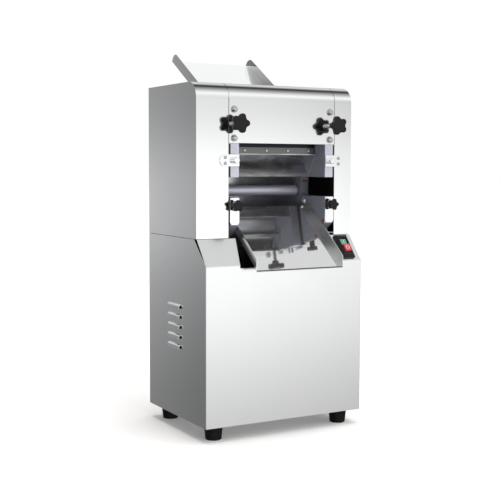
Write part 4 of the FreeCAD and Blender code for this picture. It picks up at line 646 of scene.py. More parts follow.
# Colour, roughness, its change, the grain's stretch, and how metallic it is if not fully
METALS = {
    "Front sheet": ("front_steel", 0.09, 0.05, UPRIGHT_GRAIN),
    "Satin front sheet": ("front_steel", 0.20, 0.08, UPRIGHT_GRAIN),
    "Side sheet": ("shaded_side_steel", 0.15, 0.10, UPRIGHT_GRAIN),
    # Inner sheet: dull, with a near-dark colour as painted shade
    "Inner sheet": ("shaded_inner_steel", 0.42, 0.15, (60, 60, 60)),
    "Mirror sheet": ("mirror_steel", 0.055, 0.04, LEVEL_GRAIN),
    "Tray sheet": ("mirror_steel", 0.035, 0.03, LEVEL_GRAIN, 0.95),
    "Tray wall": ("shaded_tray_wall_steel", 0.20, 0.10, TURNED_GRAIN, 0.93),
    "Transfer roller": ("transfer_steel", 0.36, 0.10, TURNED_GRAIN, 0.55),
    "Ground roller": ("roller_steel", 0.30, 0.12, TURNED_GRAIN),
    # The scraper bar's front face: a painted shade
    "Dull scraper": ("shaded_bar_steel", 0.30, 0.12, (60, 900, 900)),
}
# The speckle of machined and cast metal: its scale, change and depth, then shine and how metallic it is
CAST = (300.0, 0.25, 0.00002, 0.5, 1.0)
# Colour, roughness, the speckle's scale, change and depth, and the shine if not the usual
SPECKLED = {
    "Machined steel": ((0.62, 0.63, 0.64, 1), 0.28, *CAST),
    "Gear steel": ((0.45, 0.45, 0.46, 1), 0.36, *CAST),
    # Near-black steel: a painted shade on the scraper blades and the wall tie bars
    "Blued steel": ((0.035, 0.038, 0.045, 1), 0.35, *CAST),
    "Bronze": ((0.62, 0.40, 0.18, 1), 0.30, *CAST),
    "Cast pulley": ((0.30, 0.31, 0.32, 1), 0.5, *CAST),
    "Bolt steel": ((0.56, 0.56, 0.57, 1), 0.16, *CAST),
    "Frame paint": ("paint", 0.5, 180.0, 0.2, 0.00006),
    "Motor paint": ("motor_paint", 0.42, 200.0, 0.2, 0.00006),
    "Belt rubber": ((0.018, 0.018, 0.018, 1), 0.75, 500.0, 0.4, 0.00005),
    "Foot rubber": ("rubber_black", 0.5, 350.0, 0.3, 0.00005, 0.2),
    "Knob plastic": ("knob_black", 0.36, 900.0, 0.35, 0.00005, 0.28),
    "Switch plastic": ("switch_black", 0.40, 900.0, 0.25, 0.00003, 0.3),
    "Gland plastic": ((0.02, 0.02, 0.022, 1), 0.45, 700.0, 0.25, 0.00003),
    "Start green": ("start_green", 0.34, 700.0, 0.12, 0.00002),
    "Stop red": ("stop_red", 0.30, 700.0, 0.12, 0.00002),
    "Button mark": ((0.80, 0.72, 0.70, 1), 0.4, 700.0, 0.1, 0.00001),
}
# Painted reflection tones of the front sheet, by height in millimetres
PAINTED_REFLECTION_BY_HEIGHT = {
    # The covers get a painted dark reflection line below the top edge
    "Cover sheet": ((900, 1.0), (938, 1.0), (942, 0.95), (946, 0.80), (950, 0.55), (953, 0.34), (955.6, 0.10),
                    (958.4, 0.02), (961.0, 0.30), (963.5, 0.66), (1000, 0.78)),
    # The right chute flange's inner face gets painted reflection tones: darker below and brighter near its
    # tip
    "Chute flange": ((970, 0.24), (985, 0.25), (999, 0.27), (1018, 0.37), (1041, 0.42), (1058, 0.56),
                     (1066, 1.0), (1090, 1.0)),
}


def new_finish(name, **constants):
    """A new material: its tree, its shader's inputs and the coordinates of the frame."""
    material = bpy.data.materials.new(name)
    material.use_nodes = True
    tree = material.node_tree
    tree.nodes.clear()
    shader = node(tree, "ShaderNodeBsdfPrincipled", **constants)
    node(tree, "ShaderNodeOutputMaterial", Surface=shader.outputs["BSDF"])
    return tree, shader.inputs, node(tree, "ShaderNodeTexCoord").outputs["Object"]


def metal(name, colour_name, roughness, change, stretch, metallic=1.0):
    """Bright metal with a fine grain."""
    tree, shader, spot = new_finish(name, Metallic=metallic, **{"Base Color": tint(colour_name)})
    grain = effect(tree, "Brushed grain", Vector=spot, Stretch=stretch, Change=change,
                   **{"Base roughness": roughness})
    feed(tree, shader["Roughness"], grain["Roughness"])
    return tree, shader, spot


def painted_reflection_sheet(name):
    """Polished front sheet whose polish changes with the height."""
    tree, shader, spot = metal(name, *METALS["Front sheet"])
    tone = toned(tree, reckoned(tree, "DIVIDE", parts(tree, spot)["Z"], MM), PAINTED_REFLECTION_BY_HEIGHT[name])
    feed(tree, shader["Base Color"], reckoned_vector(tree, "MULTIPLY", tone, tint("front_steel")[:3]))


def guide_sheet(name):
    """Worn satin sheet of the guide plate, with pale smears where the dough runs over it."""
    tree, shader, spot = metal(name, "guide_steel", 0.27, 0.14, (60, 900, 900))
    along = node(tree, "ShaderNodeMapping", Vector=spot, Scale=(9.0, 40.0, 40.0)).outputs["Vector"]
    smears = fading(tree, noise(tree, along, 1.0, 5.0, 0.62, 1.2), 0.36, 0.62)
    worn = tint("guide_steel")
    clean = (*(0.5 * share for share in worn[:3]), 1.0)
    feed(tree, shader["Base Color"], mixed(tree, smears, clean, worn))


def bumpy(tree, shader, speck, depth):
    """Takes roughness and height from a speckle; depth is in metres."""
    bump = node(tree, "ShaderNodeBump", Strength=1.0, Distance=depth, Height=speck["Height"])
    feed(tree, shader["Roughness"], speck["Roughness"])
    feed(tree, shader["Normal"], bump.outputs["Normal"])


def speckled(name, value, roughness, scale, change, depth, shine=0.5, metallic=0.0):
    """Paint, plastic, rubber or cast metal with a fine speckle."""
    tree, shader, spot = new_finish(name, Metallic=metallic, **{SHINE: shine})
    speck = effect(tree, "Fine speckle", Vector=spot, Colour=tint(value) if isinstance(value, str) else value,
                   Scale=scale, Change=change, **{"Base roughness": roughness})
    feed(tree, shader["Base Color"], speck["Colour"])
    bumpy(tree, shader, speck, depth)


def wall_paint(name):
    """Grey paint of the wall plates: pale ground front edges, grime along the covers, chips to the primer."""
    tree, shader, spot = new_finish(name, Metallic=0.0)
    where = parts(tree, spot)
    front = place(0, SLOPE_DEPTH, 0).y
    # Pale front faces; all other faces get the darker colour, a painted shade
    paint = mixed(tree, fading(tree, where["Y"], front + 0.0003, front + 0.0015), tint("wall_edge"),
                  tint("wall_iron"))
    speck = effect(tree, "Fine speckle", Vector=spot, Colour=paint, Scale=220.0, Change=0.16,
                   **{"Base roughness": 0.42})
    # Painted shadow: a near-black strip along the plates' outer edges, where the covers shade them
    aside = reckoned(tree, "SUBTRACT", where["X"], (LEFT_POST + RIGHT_POST) / 2 * MM)
    cover_edge_shadow = fading(tree, reckoned(tree, "ABSOLUTE", aside), 0.1655, 0.1672)
    colour_now = mixed(tree, cover_edge_shadow, speck["Colour"], (0.03, 0.03, 0.034, 1.0))
    for centre, half in (((175, 189, 701), (0.012, 0.004, 0.004)), ((161, 65, 588), (0.003, 0.007, 0.007))):
        chip = effect(tree, "Patch mask", Vector=spot, Centre=place(*centre), **{"Half size": half})
        colour_now = mixed(tree, chip["Mask"], colour_now, tint("primer"))
    feed(tree, shader["Base Color"], colour_now)
    bumpy(tree, shader, speck, 0.00004)


def finish_called(name):
    """The finish of that name, made when it is first asked for."""
    if name not in bpy.data.materials:
        if name in METALS:
            metal(name, *METALS[name])
        elif name in SPECKLED:
            speckled(name, *SPECKLED[name])
        elif name in PAINTED_REFLECTION_BY_HEIGHT:
            painted_reflection_sheet(name)
        else:
            {"Guide sheet": guide_sheet, "Wall paint": wall_paint}[name](name)
    return bpy.data.materials[name]


# Cabinet sheet work


def make_front_panel():
    """Upright front and slope in one sheet, cut out for the mouth and the switch."""
    wider_at_fold, wider_at_waist = 26.2, 10.2
    low_left, low_right = MOUTH_LEFT - wider_at_fold, MOUTH_RIGHT + wider_at_fold
    top_left, top_right = MOUTH_LEFT - wider_at_waist, MOUTH_RIGHT + wider_at_waist
    switch_left, switch_right, switch_low, switch_high = SWITCH_X - 18, SWITCH_X + 18, 17.0, 75.0
    lip, half = FOLD - 7.0, HALF_WIDTH - SHEET
    panel = bent_sheet("front_panel", [(0, FOOT_TOP), (0, FOLD), (SLOPE_DEPTH, WAIST)], -half, half)
    score_at(panel, "Z", [lip], lambda p, way: p.z < FOLD)
    score_at(panel, "X", [low_left, low_right], lambda p, way: lip < p.z < FOLD)
    cut_out(panel, lambda p, way: lip < p.z < FOLD and low_left < p.x < low_right)
    for low, high in ((low_left, top_left), (low_right, top_right)):
        line = Vector((high - low, SLOPE_DEPTH, WAIST - FOLD))
        across = Vector((0, FOLD - WAIST, SLOPE_DEPTH))
        score(panel, (low, 0, FOLD), line.cross(across).normalized(), lambda p, way: p.z > FOLD)
    cut_out(panel, lambda p, way: p.z > FOLD and top_left < p.x < top_right)
    score_at(panel, "X", [switch_left, switch_right], lambda p, way: p.z > FOLD and p.x > top_right)
    strip = lambda p, way: p.z > FOLD and switch_left < p.x < switch_right
    for rise in (switch_low, switch_high):
        score(panel, (0, rise * UP_SLOPE[1], FOLD + rise * UP_SLOPE[2]), UP_SLOPE, strip)
    cut_out(panel, lambda p, way: strip(p, way) and switch_low < (p.z - FOLD) / UP_SLOPE[2] < switch_high)
    round_edges(panel, at(y=0, z=FOLD, along="x"), sizes("fold_radius"), 3)
    made_solid(panel, at(y=0), (0, -1, 0), 0.3)
    dress(panel, "machine_frame", "bright_steel", "Satin front sheet", "lower_front_panel")
    refinish(panel, "Inner sheet", lambda p, way: way.y > 0.3)


def make_side_panels():
    """Lower side panels with five louvres, their lips pushed outwards."""
    front, back, first, height = 154.0, 230.0, 235.0, 12.0
    bulge = sizes("louvre_bulge")
    louvres = 5
    steps = [first + i * sizes("louvre_pitch") for i in range(louvres)]
    column = lambda p, way: front < p.y < back
    for name, (side, *_) in SIDES.items():
        out = side * HALF_WIDTH
        panel = flat_sheet(f"{name}_side_panel", (out, 0, FOOT_TOP), (out, DEPTH, WAIST))
        edit(panel)
        score(panel, (0, 0, FOLD), (0, WAIST - FOLD, -SLOPE_DEPTH), clear=True)
        score_at(panel, "Y", [front, back])
        for z in steps:
            score_at(panel, "Z", [z, z + height], column)
        for z in steps:
            cut_out(panel, lambda p, way: column(p, way) and z < p.z < z + height)
            pick(panel, "EDGE", lambda p, way: column(p, way) and near(p.z, z + height))
            reach, drop = 0.0, 0.0
            for new_reach, new_drop in ((0.45, 0.14), (0.80, 0.42), (1.0, 1.0)):
                pull(side * (new_reach - reach) * bulge, 0, (drop - new_drop) * height)
                reach, drop = new_reach, new_drop
        made_solid(panel, at(x=out), (side, 0, 0), 0.25)
        dress(panel, "machine_frame", "bright_steel", "Side sheet", f"lower_{name}_panel")
        refinish(panel, "Inner sheet", lambda p, way: way.x * side < -0.9)


def make_side_covers():
    """Upper side covers: front, rounded top edge, top and side in one."""
    for name, (side, _, _, wall) in SIDES.items():
        outer, edge = side * HALF_WIDTH, wall + side * SEAM_OUTSIDE
        path = [(SLOPE_DEPTH, UPPER_BOTTOM), (SLOPE_DEPTH, TOP), (REAR, TOP)]
        cover = bent_sheet(f"{name}_upper_cover", path, min(outer, edge), max(outer, edge))
        round_edges(cover, at(y=SLOPE_DEPTH, z=TOP), sizes("top_radius"), 12)
        pick(cover, "VERT", at(x=outer, y=REAR))
        for step in ((0, SHEET * MM, 0), (0, 0, (UPPER_BOTTOM - TOP) * MM)):
            bpy.ops.mesh.extrude_vertices_move(TRANSFORM_OT_translate={"value": step})
        pick(cover, "VERT", at(x=outer))
        bpy.ops.mesh.edge_face_add()
        face_outwards(cover, at(along="y"), (0, -1, 0))
        thicken(cover)
        soften(cover, 0.5, 3, 60)
        # The Cover sheet finish paints a dark reflection line below the top edge
        dress(cover, "machine_frame", "bright_steel", "Cover sheet", f"upper_{name}_cover")
        # The cover's outer side face gets the darker side colour, a painted shade
        refinish(cover, "Side sheet", lambda p, way: way.x * side > 0.9 and p.x * side > HALF_WIDTH - 0.7)
        refinish(cover, "Inner sheet", lambda p, way: way.y > 0.3 or way.z < -0.3 or way.x * side < -0.9)


def make_centre_cover():
    """Cover in front of the press rollers, open for the chute above and the gap screws in front."""
    seam = sizes("cover_seam")
    left, right = WALL_LEFT - SEAM_OUTSIDE + seam, WALL_RIGHT + SEAM_OUTSIDE - seam
    front, back = 287.8, 356.7
    opening_left, opening_right = CHUTE_LEFT - 1.0, CHUTE_RIGHT + 1.0
    path = [(SLOPE_DEPTH, WINDOW_TOP), (SLOPE_DEPTH, TOP), (REAR, TOP)]
    cover = bent_sheet("centre_cover", path, left, right)
    strip = lambda p, way: near(p.z, TOP) and front < p.y < back
    score_at(cover, "Y", [front, back], at(z=TOP))
    score_at(cover, "X", [opening_left, opening_right], strip)
    cut_out(cover, lambda p, way: strip(p, way) and opening_left < p.x < opening_right)
    round_edges(cover, at(y=SLOPE_DEPTH, z=TOP), sizes("top_radius"), 12)
    face_outwards(cover, at(y=SLOPE_DEPTH), (0, -1, 0))
    thicken(cover)
    for x in (LEFT_POST, RIGHT_POST):
        where = (x, SLOPE_DEPTH, ROLLER_Z)
        drill(cover, turned("screw_hole", [(-10, 6.5), (10, 6.5)], TOWARD_FRONT, where, 32))
    soften(cover, 0.3)
    # The Cover sheet finish paints a dark reflection line below the top edge
    dress(cover, "machine_frame", "bright_steel", "Cover sheet", "upper_centre_cover")
    refinish(cover, "Inner sheet", lambda p, way: way.y > 0.3 or way.z < -0.3)


def make_chute():
    """Sloped chute: a floor with two upturned flanges, and the tabs that hold it."""
    slant = math.radians(CHUTE_SLANT)
    above_top, tab_front, tab_back = 180.0, 296.0, 326.0
    reach = above_top + (CHUTE_TOP - CHUTE_FOOT) / math.cos(slant)
    flange, under, tab_top, tab_foot = 32.0, -SHEET, 950.0, 930.0 + SHEET
    path = [(CHUTE_LEFT, flange), (CHUTE_LEFT, under), (CHUTE_RIGHT, under), (CHUTE_RIGHT, flange)]
    chute = bent_sheet("chute", path, 0, reach, along="Y")
    round_edges(chute, at(z=under, along="y"), 2.0, 3)
    for edge, radius in ((CHUTE_LEFT, 21.0), (CHUTE_RIGHT, 28.0)):
        round_corners(chute, at(edge, reach, flange), radius, 10)
    made_solid(chute, at(z=under), (0, 0, -1), 0.35)
    lean(chute, CHUTE_SLANT, (0, 0), (CHUTE_FOOT, TOP + (CHUTE_FOOT - CHUTE_TOP) * math.tan(slant)))
    tabs = []
    for edge, post in ((CHUTE_LEFT, LEFT_POST), (CHUTE_RIGHT, RIGHT_POST)):
        path = [(edge, tab_top), (edge, tab_foot), (post, tab_foot)]
        tab = bent_sheet("tab", path, tab_front, tab_back, along="Y")
        face_outwards(tab, lambda p, way: abs(way.z) > 0.9, (0, 0, 1))
        thicken(tab)
        tabs.append(tab)
    chute = joined("infeed_chute_sheet", [chute] + tabs)
    dress(chute, "machine_frame", "bright_steel", "Front sheet", "infeed_chute")
    # The right flange's inner face gets painted reflection tones by height
    refinish(chute, "Chute flange", lambda p, way: way.x < -0.9 and p.x > CHUTE_RIGHT - 3 and p.z > TOP)


def make_tray():
    """Outfeed tray: floor, side walls with rounded ears, a turned lip and its two pins."""
    left, right = MOUTH_LEFT + 1.0, MOUTH_RIGHT - 1.0
    wall, under, floor_end, end = 22.0, -SHEET, 260.0, 282.0
    slant = math.radians(TRAY_SLANT)
    path = [(left, wall), (left, under), (right, under), (right, wall)]
    tray = bent_sheet("outfeed_tray_sheet", path, 0, end, along="Y")
    score_at(tray, "Y", [floor_end], at(z=under))
    cut_out(tray, lambda p, way: near(p.z, under) and p.y > floor_end)
    score(tray, (0, 0, under), (0, math.cos(slant), -math.sin(slant)), clear=True)
    round_edges(tray, lambda p, way: near(p.z, under) and abs(way.y) > 0.99 and p.y < floor_end, 1.5, 3)
    round_corners(tray, at(y=end), 11.0, 8)
    round_corners(tray, lambda p, way: near(p.z, wall) and p.y < 40, sizes("tray_nose"), 6)
    pick(tray, "EDGE", at(y=0, z=under, along="x"))
    pull(0, 0, -SHEET)
    pull(0, 10, 0)
    made_solid(tray, at(z=under), (0, 0, -1), 0.3)
    lean(tray, TRAY_SLANT, (271.0, 9.5), TRAY_HINGE)
    rings = [(0, 4.4), (0.6, 5), (13, 5), (14.5, 5), (14.5, 6.5)] + rounded_rim(6.5, 17.5, 1.5, 3)
    pins = [turned("tray_pin", rings, (0, -side * math.pi / 2, 0), (edge + side * 12, *TRAY_HINGE), 32)
            for side, _, edge, _ in SIDES.values()]
    tray = joined("outfeed_tray_sheet", [tray] + pins)
    dress(tray, "tray", "mirror_steel", "Tray sheet", "outfeed_tray")
    # The tray walls get a darker colour, a painted shade
    refinish(tray, "Tray wall", lambda p, way: abs(way.x) > 0.9)


def make_feet():
    """Four tapered feet, hollow at the bottom."""
    rings = [(14, 11), (0, 11), (0, 20.5), (0.5, 21.6), (2, 22.4), (39.6, 26.3), (40.6, 26.1), (41, 25.6)]
    left, front, across, back = -204, 46, 408, 276
    foot = turned("foot", rings, UPRIGHT, (left, front, 0), 64)
    feet = copies(foot, (0, 0, 0), (across, 0, 0), (0, back, 0), (across, back, 0))
    for corner, foot in zip(("front_left", "front_right", "rear_left", "rear_right"), feet):
        dress(called(f"foot_{corner}", foot), "machine_frame", "foot_rubber", "Foot rubber", "rubber_feet")


# Rollers, scraper and guide


def roller_rings(name, journal, shoulder):
    """Rings of a roller, alike at both ends, from (distance inwards, radius) of its journal and shoulder."""
    def half(tip, side, way):
        return ([(tip + way * reach, radius) for reach, radius in journal]
                + [(side + way * reach, radius) for reach, radius in shoulder])

    start, stop = reach_of(name)
    return half(start, MOUTH_LEFT + 4, 1) + half(stop, MOUTH_RIGHT - 4, -1)[::-1]


def make_press_rollers():
    """Front and rear roller, each with its two journals."""
    front_y, rear_y = 140.0, 256.0
    for name, y in (("front", front_y), ("rear", rear_y)):
        rings = roller_rings(f"{name}_roller", [(0, 16.7), (0.8, 17.5)], [(0, 17.5), (0, 56.5), (1, 57.5)])
        roller = turned(f"{name}_press_roller_barrel", rings, TOWARD_RIGHT, (0, y, ROLLER_Z), 96)
        dress(roller, f"{name}_press_roller", "roller_steel", "Ground roller", f"{name}_roller")


def make_transfer_roller():
    """Small roller above the tray, with its two journals."""
    shoulder = [(0, 8), (0, 13.5), (1.2, 15.1), (2.4, 15.5)]
    rings = roller_rings("transfer_roller", [(0, 7.5), (0.5, 8)], shoulder)
    roller = turned("transfer_roller_barrel", rings, TOWARD_RIGHT, (0, 211, 674), 64)
    dress(roller, "dough_transfer_roller", "roller_steel", "Transfer roller", "transfer_roller")


def make_scraper_bar():
    """Angle bar under the rollers, dull in front and bright below."""
    bar = bent_sheet("scraper_bar", [(97, 776), (107, 776), (107, 797)], *reach_of("front_scraper_bar"))
    round_edges(bar, at(y=107, z=776), 3.4, 4)
    made_solid(bar, lambda p, way: abs(way.z) > 0.9, (0, 0, -1), 0.4, PLATE)
    dress(bar, "front_carriage", "mirror_steel", "Guide sheet", "front_scraper_bar")
    refinish(bar, "Dull scraper", lambda p, way: way.y < -0.9 and p.z > 780)


def make_guide_plate():
    """Bent guide plate under the rollers."""
    plate = bent_sheet("guide_plate", [(147, 715), (166, 757), (188, 800)], *reach_of("dough_guide_plate"))
    made_solid(plate, lambda p, way: p.z < 757, (0, -0.9, 0.4), 0.3)
    dress(plate, "front_carriage", "mirror_steel", "Guide sheet", "dough_guide_plate")


# Knobs, screws and bolts


def star_reach(angle, radius):
    """Distance of the star's outline from its middle at an angle from a lobe: lobes and hollow arcs."""
    lobe, hollow = radius * 0.31, radius * 0.40
    fifth = math.radians(36)
    reach = radius - lobe
    centre = reach * math.cos(fifth) + math.sqrt((lobe + hollow) ** 2 - (reach * math.sin(fifth)) ** 2)
    lobe_middle = Vector((0, reach))
    hollow_middle = Vector((centre * math.sin(fifth), centre * math.cos(fifth)))
    meeting = lobe_middle + (hollow_middle - lobe_middle).normalized() * lobe
    if angle < math.atan2(meeting.x, meeting.y):
        return reach * math.cos(angle) + math.sqrt(lobe ** 2 - (reach * math.sin(angle)) ** 2)
    rest = fifth - angle
    return centre * math.cos(rest) - math.sqrt(hollow ** 2 - (centre * math.sin(rest)) ** 2)


def steps_from_lobe(p, per_lobe):
    """How many steps of the outline a corner of the star lies from the nearest lobe's tip."""
    corner = place(*p)
    turn = math.degrees(math.atan2(corner.x, corner.y)) % 72
    steps = round(turn / 72 * per_lobe) % per_lobe
    return min(steps, per_lobe - steps)


def star_body(name, radius, thickness, rounding, back, spin):
    """Five-lobed knob with its back on the place given: a circle pulled into a star, then raised."""
    per_lobe, dome = 24, 0.5
    face = thickness - dome
    deselect_everything()
    bpy.ops.mesh.primitive_circle_add(vertices=5 * per_lobe, radius=radius * MM, fill_type="NGON")
    knob = called(name)
    edit(knob)
    for step in range(per_lobe // 2 + 1):
        pick(knob, "VERT", lambda p, way: steps_from_lobe(p, per_lobe) == step)
        swell(star_reach(math.radians(72) * step / per_lobe, radius) / radius)
    pick_all()
    swell(1 - rounding / radius)
    rings = [(rise * rounding, 1 - out * rounding / radius)
             for rise, out in ((0.0, 1.0), (0.13, 0.5), (0.5, 0.13), (1.0, 0.0))]
    rings += [(face - rise * rounding, 1 - out * rounding / radius)
              for rise, out in ((1.0, 0.0), (0.62, 0.08), (0.29, 0.29), (0.08, 0.62), (0.0, 1.0))]
    draw_out(rings + [(face + 0.35, 0.70), (thickness, 0.40)])
    stand(knob, TOWARD_FRONT, back, math.radians(spin))
    return knob


def make_gap_knobs():
    """Large star knobs with their hubs."""
    for name, x, stand_off, spin, _ in KNOBS:
        back = (x, SLOPE_DEPTH - stand_off + KNOB_THICKNESS, ROLLER_Z)
        star = star_body("star", sizes("knob_radius"), KNOB_THICKNESS, sizes("knob_rounding"), back, spin)
        hub = turned("hub", [(-10, 9.6), (-9.6, 10.0), (0.5, 12)], TOWARD_FRONT, back, 48)
        knob = joined(f"{name}_gap_star_knob", [star, hub])
        dress(knob, f"{name}_gap_adjuster", "knob_plastic", "Knob plastic", f"{name}_gap_knob")


def make_gap_screws():
    """Threaded stem of each large knob, with its collar in the slide."""
    pitch, root, crest = sizes("thread_pitch"), 6.0 - sizes("thread_depth"), 6.0
    thread_end, collar_front = 71.0, 104.1
    for name, x, stand_off, _, _ in KNOBS:
        start = SLOPE_DEPTH - stand_off + KNOB_THICKNESS + 9.0
        rings, reach = [(0, root)], 0.3
        while start + reach < thread_end:
            rings += [(reach, root), (reach + pitch * 0.42, crest), (reach + pitch * 0.58, crest)]
            reach += pitch
        collar = collar_front - start
        rings += [(reach, root), (reach + 0.6, crest), (collar, crest), (collar, 10.0), (collar + 0.5, 10.5),
                  (collar + 5.5, 10.5), (collar + 6, 10.0)]
        screw = turned(f"{name}_gap_stem", rings, TOWARD_BACK, (x, start, ROLLER_Z), 32)
        dress(screw, f"{name}_gap_adjuster", "fastener_steel", "Bolt steel", f"{name}_gap_screw")


def make_clamp_knobs():
    """Small star knobs with their hubs and studs."""
    back = SLOPE_DEPTH - 28.0 + SMALL_KNOB_THICKNESS
    hub_back = SLOPE_DEPTH - 0.1 - PLATE - 0.3
    hub_end = back - hub_back
    for name, x, _, _, spin in KNOBS:
        where = (x, back, CLAMP_Z)
        star = star_body("star", sizes("small_knob_radius"), SMALL_KNOB_THICKNESS, 1.8, where, spin)
        hub = turned("hub", [(hub_end, 7.6), (hub_end + 0.4, 8.0), (0.5, 8.0)], TOWARD_FRONT, where, 40)
        stud = turned("stud", [(-33, 3.4), (-32.4, 4), (hub_end + 0.2, 4)], TOWARD_FRONT, where, 24)
        knob = joined(f"{name}_clamp_star_knob", [star, hub, stud])
        dress(knob, f"{name}_clamp", "knob_plastic", "Knob plastic", f"{name}_clamp_knob")
        refinish(knob, "Bolt steel", lambda p, way: p.y > hub_back + 0.1)


def make_cap_bolts():
    """Round-headed bolts with washers, above and below each large knob."""
    washer = [(0, 9.5), (0.4, 10), (1.2, 10), (1.6, 9.6)]
    head = [(1.6, 7.0), (7.1, 7.0)] + rounded_rim(7.0, 9.6, 2.5, 5)[1:] + [(9.6, 3.0)]
    rings = [(-30, 3.6), (-29.5, 4), (0, 4)] + washer + head
    from_knob, apart = 39, RIGHT_POST - LEFT_POST
    bolt = turned("cap_bolt", rings, TOWARD_FRONT, (LEFT_POST, SLOPE_DEPTH, ROLLER_Z - from_knob), 40)
    bolts = copies(bolt, *((x, 0, z) for x in (0, apart) for z in (0, 2 * from_knob)))
    for spot, bolt in zip(("lower_left", "upper_left", "lower_right", "upper_right"), bolts):
        dress(called(f"cap_bolt_{spot}", bolt), "machine_frame", "fastener_steel", "Bolt steel", "cap_bolts")


def pan_screw(turn, where, shank):
    """Pan-head screw with a cross recess, its head's underside on the place given."""
    head = [(0, 4.5), (1.0, 4.5)] + rounded_rim(4.5, 2.6, 1.5)[1:]
    rings = [(-shank, 2.1), (-shank + 0.5, 2.5), (0, 2.5)] + head
    screw = turned("screw", rings, UPRIGHT, (0, 0, 0), 28)
    for wide, deep in ((2.6, 0.45), (0.45, 2.6)):
        drill(screw, block("recess", (-wide, -deep, 1.3), (wide, deep, 4)))
    to_origin(screw)
    stand(screw, turn, where)
    return screw


def scraper_row(turn, y):
    """Four screws in a row along a scraper bar."""
    first, pitch, height, shank = -76.4, 70.25, 788, 4.2
    return copies(pan_screw(turn, (first, y, height), shank), *((pitch * i, 0, 0) for i in range(4)))


def make_scraper_screws():
    """Screws of the front scraper bar."""
    screws = joined("scraper_screws", scraper_row(TOWARD_FRONT, 104))
    dress(screws, "front_carriage", "fastener_steel", "Bolt steel", "front_scraper_screws")


def make_pan_screws():
    """Screws of the lugs, the rear sheets, the chute and the rear scraper."""
    spots = [(x, 0, z) for x in (-201, 230.5) for z in (101, 294, 487)]
    spots += [(x, 0, z) for x in (LEFT_POST, RIGHT_POST) for z in (577, 900)]
    screws = copies(pan_screw(TOWARD_FRONT, (0, SLOPE_DEPTH - PLATE, LUG_Z), 7.5),
                    *((x, 0, z) for x in (-163.5, 204.5) for z in (-8, 8)))
    screws += copies(pan_screw(TOWARD_BACK, (0, DEPTH, 0), 10.5), *spots)
    screws += copies(pan_screw(UPRIGHT, (0, 0, 931.5), 10.5),
                     *((x, y, 0) for x in (-127.5, 168.5) for y in (303.5, 318.5)))
    screws = joined("sheet_screws", screws + scraper_row(TOWARD_BACK, 292))
    dress(screws, "machine_frame", "fastener_steel", "Bolt steel", "pan_head_screws")


# Cutter lugs and clamps


def make_lugs():
    """Lug with a round end and the bright post that the cutter hangs on, at each side of the mouth."""
    front, half = SLOPE_DEPTH - PLATE, 16.5
    rings = [(-17, 3.6), (-16.6, 4), (3, 4), (3, 8.5), (17.2, 8.5), (18, 7.7)]
    for name, (side, _, edge, _) in SIDES.items():
        outer = edge + side * 60.0
        low, high = sorted((edge, outer))
        lug = flat_sheet("lug", (low, front, LUG_Z - half), (high, front, LUG_Z + half))
        edit(lug)
        round_corners(lug, at(x=outer), half - 0.1, 12)
        made_solid(lug, everywhere, (0, -1, 0), sizes("strap_softness"), PLATE)
        post = turned("post", rings, TOWARD_FRONT, (edge + side * 15.0, SLOPE_DEPTH, LUG_Z), 48)
        lug = joined(f"{name}_lug", [lug, post])
        dress(lug, "machine_frame", "mirror_steel", "Mirror sheet", "cutter_lugs")


def make_straps():
    """Clamp strap with a round foot and a slot for the stud."""
    front = SLOPE_DEPTH - PLATE - 0.1
    bottom, top, half, slot_wide, slot_high = 583.5, 657.5, 14.5, 4.3, 9 + 4.3
    for name, (side, x, *_) in SIDES.items():
        middle = x - 0.8 * side
        strap = flat_sheet(f"{name}_strap_plate", (middle - half, front, bottom), (middle + half, front, top))
        edit(strap)
        round_corners(strap, at(z=bottom), 9.0, 10)
        round_corners(strap, at(z=top), 4.0, 5)
        face_outwards(strap, everywhere, (0, -1, 0))
        thicken(strap, PLATE)
        slot = block("slot", (x - slot_wide, front - 3, CLAMP_Z - slot_high),
                     (x + slot_wide, front + 6, CLAMP_Z + slot_high))
        round_edges(slot, lambda p, way: abs(way.y) > 0.9, 4.2, 6)
        drill(strap, slot)
        soften(strap, sizes("strap_softness"))
        dress(strap, f"{name}_strap", "mirror_steel", "Mirror sheet", f"{name}_clamp_strap")


# Switch and cable gland


def to_origin(piece):
    """Moves what was drawn in the machine's places to the origin, to be turned there."""
    piece.location = -place(0, 0, 0)
    fix_place(piece)


def onto_slope(piece):
    """Lays a piece made flat, with Y up the slope and Z out of it, on the panel's slope."""
    to_origin(piece)
    piece.rotation_euler = (SLOPE_ANGLE, 0, 0)
    piece.location = place(SWITCH_X, SWITCH_UP * UP_SLOPE[1], FOLD + SWITCH_UP * UP_SLOPE[2])
    fix_place(piece)


def make_switch_housing():
    """Black housing with wide bevels and a pocket for the buttons."""
    top, sill = SWITCH_HEIGHT, SWITCH_HEIGHT - 6
    housing = block("switch_cover", (-21, -39, 0), (21, 39, top))
    round_edges(housing, at(z=top), 6.0, 1)
    pick(housing, "FACE", at(z=top))
    bpy.ops.mesh.inset(thickness=3.0 * MM, depth=0)
    pick(housing, "FACE", at(0, 0, top))
    bpy.ops.transform.resize(value=(1, 52 / 60, 1), center_override=place(0, 0, top))
    pull(0, 0, sill - top)
    pick(housing, "FACE", lambda p, way: near(p.z, sill) and abs(way.z) > 0.9)
    bpy.ops.mesh.inset(thickness=1.2 * MM, depth=0)
    pull(0, 0, -5.5)
    soften(housing, 0.5, 2, 30)
    body = block("switch_body", (-17, -28, -40), (17, 28, -2.5))
    soften(body, 0.8)
    housing = joined("switch_cover", [housing, body])
    onto_slope(housing)
    dress(housing, "machine_frame", "switch_plastic", "Switch plastic", "switch_housing")


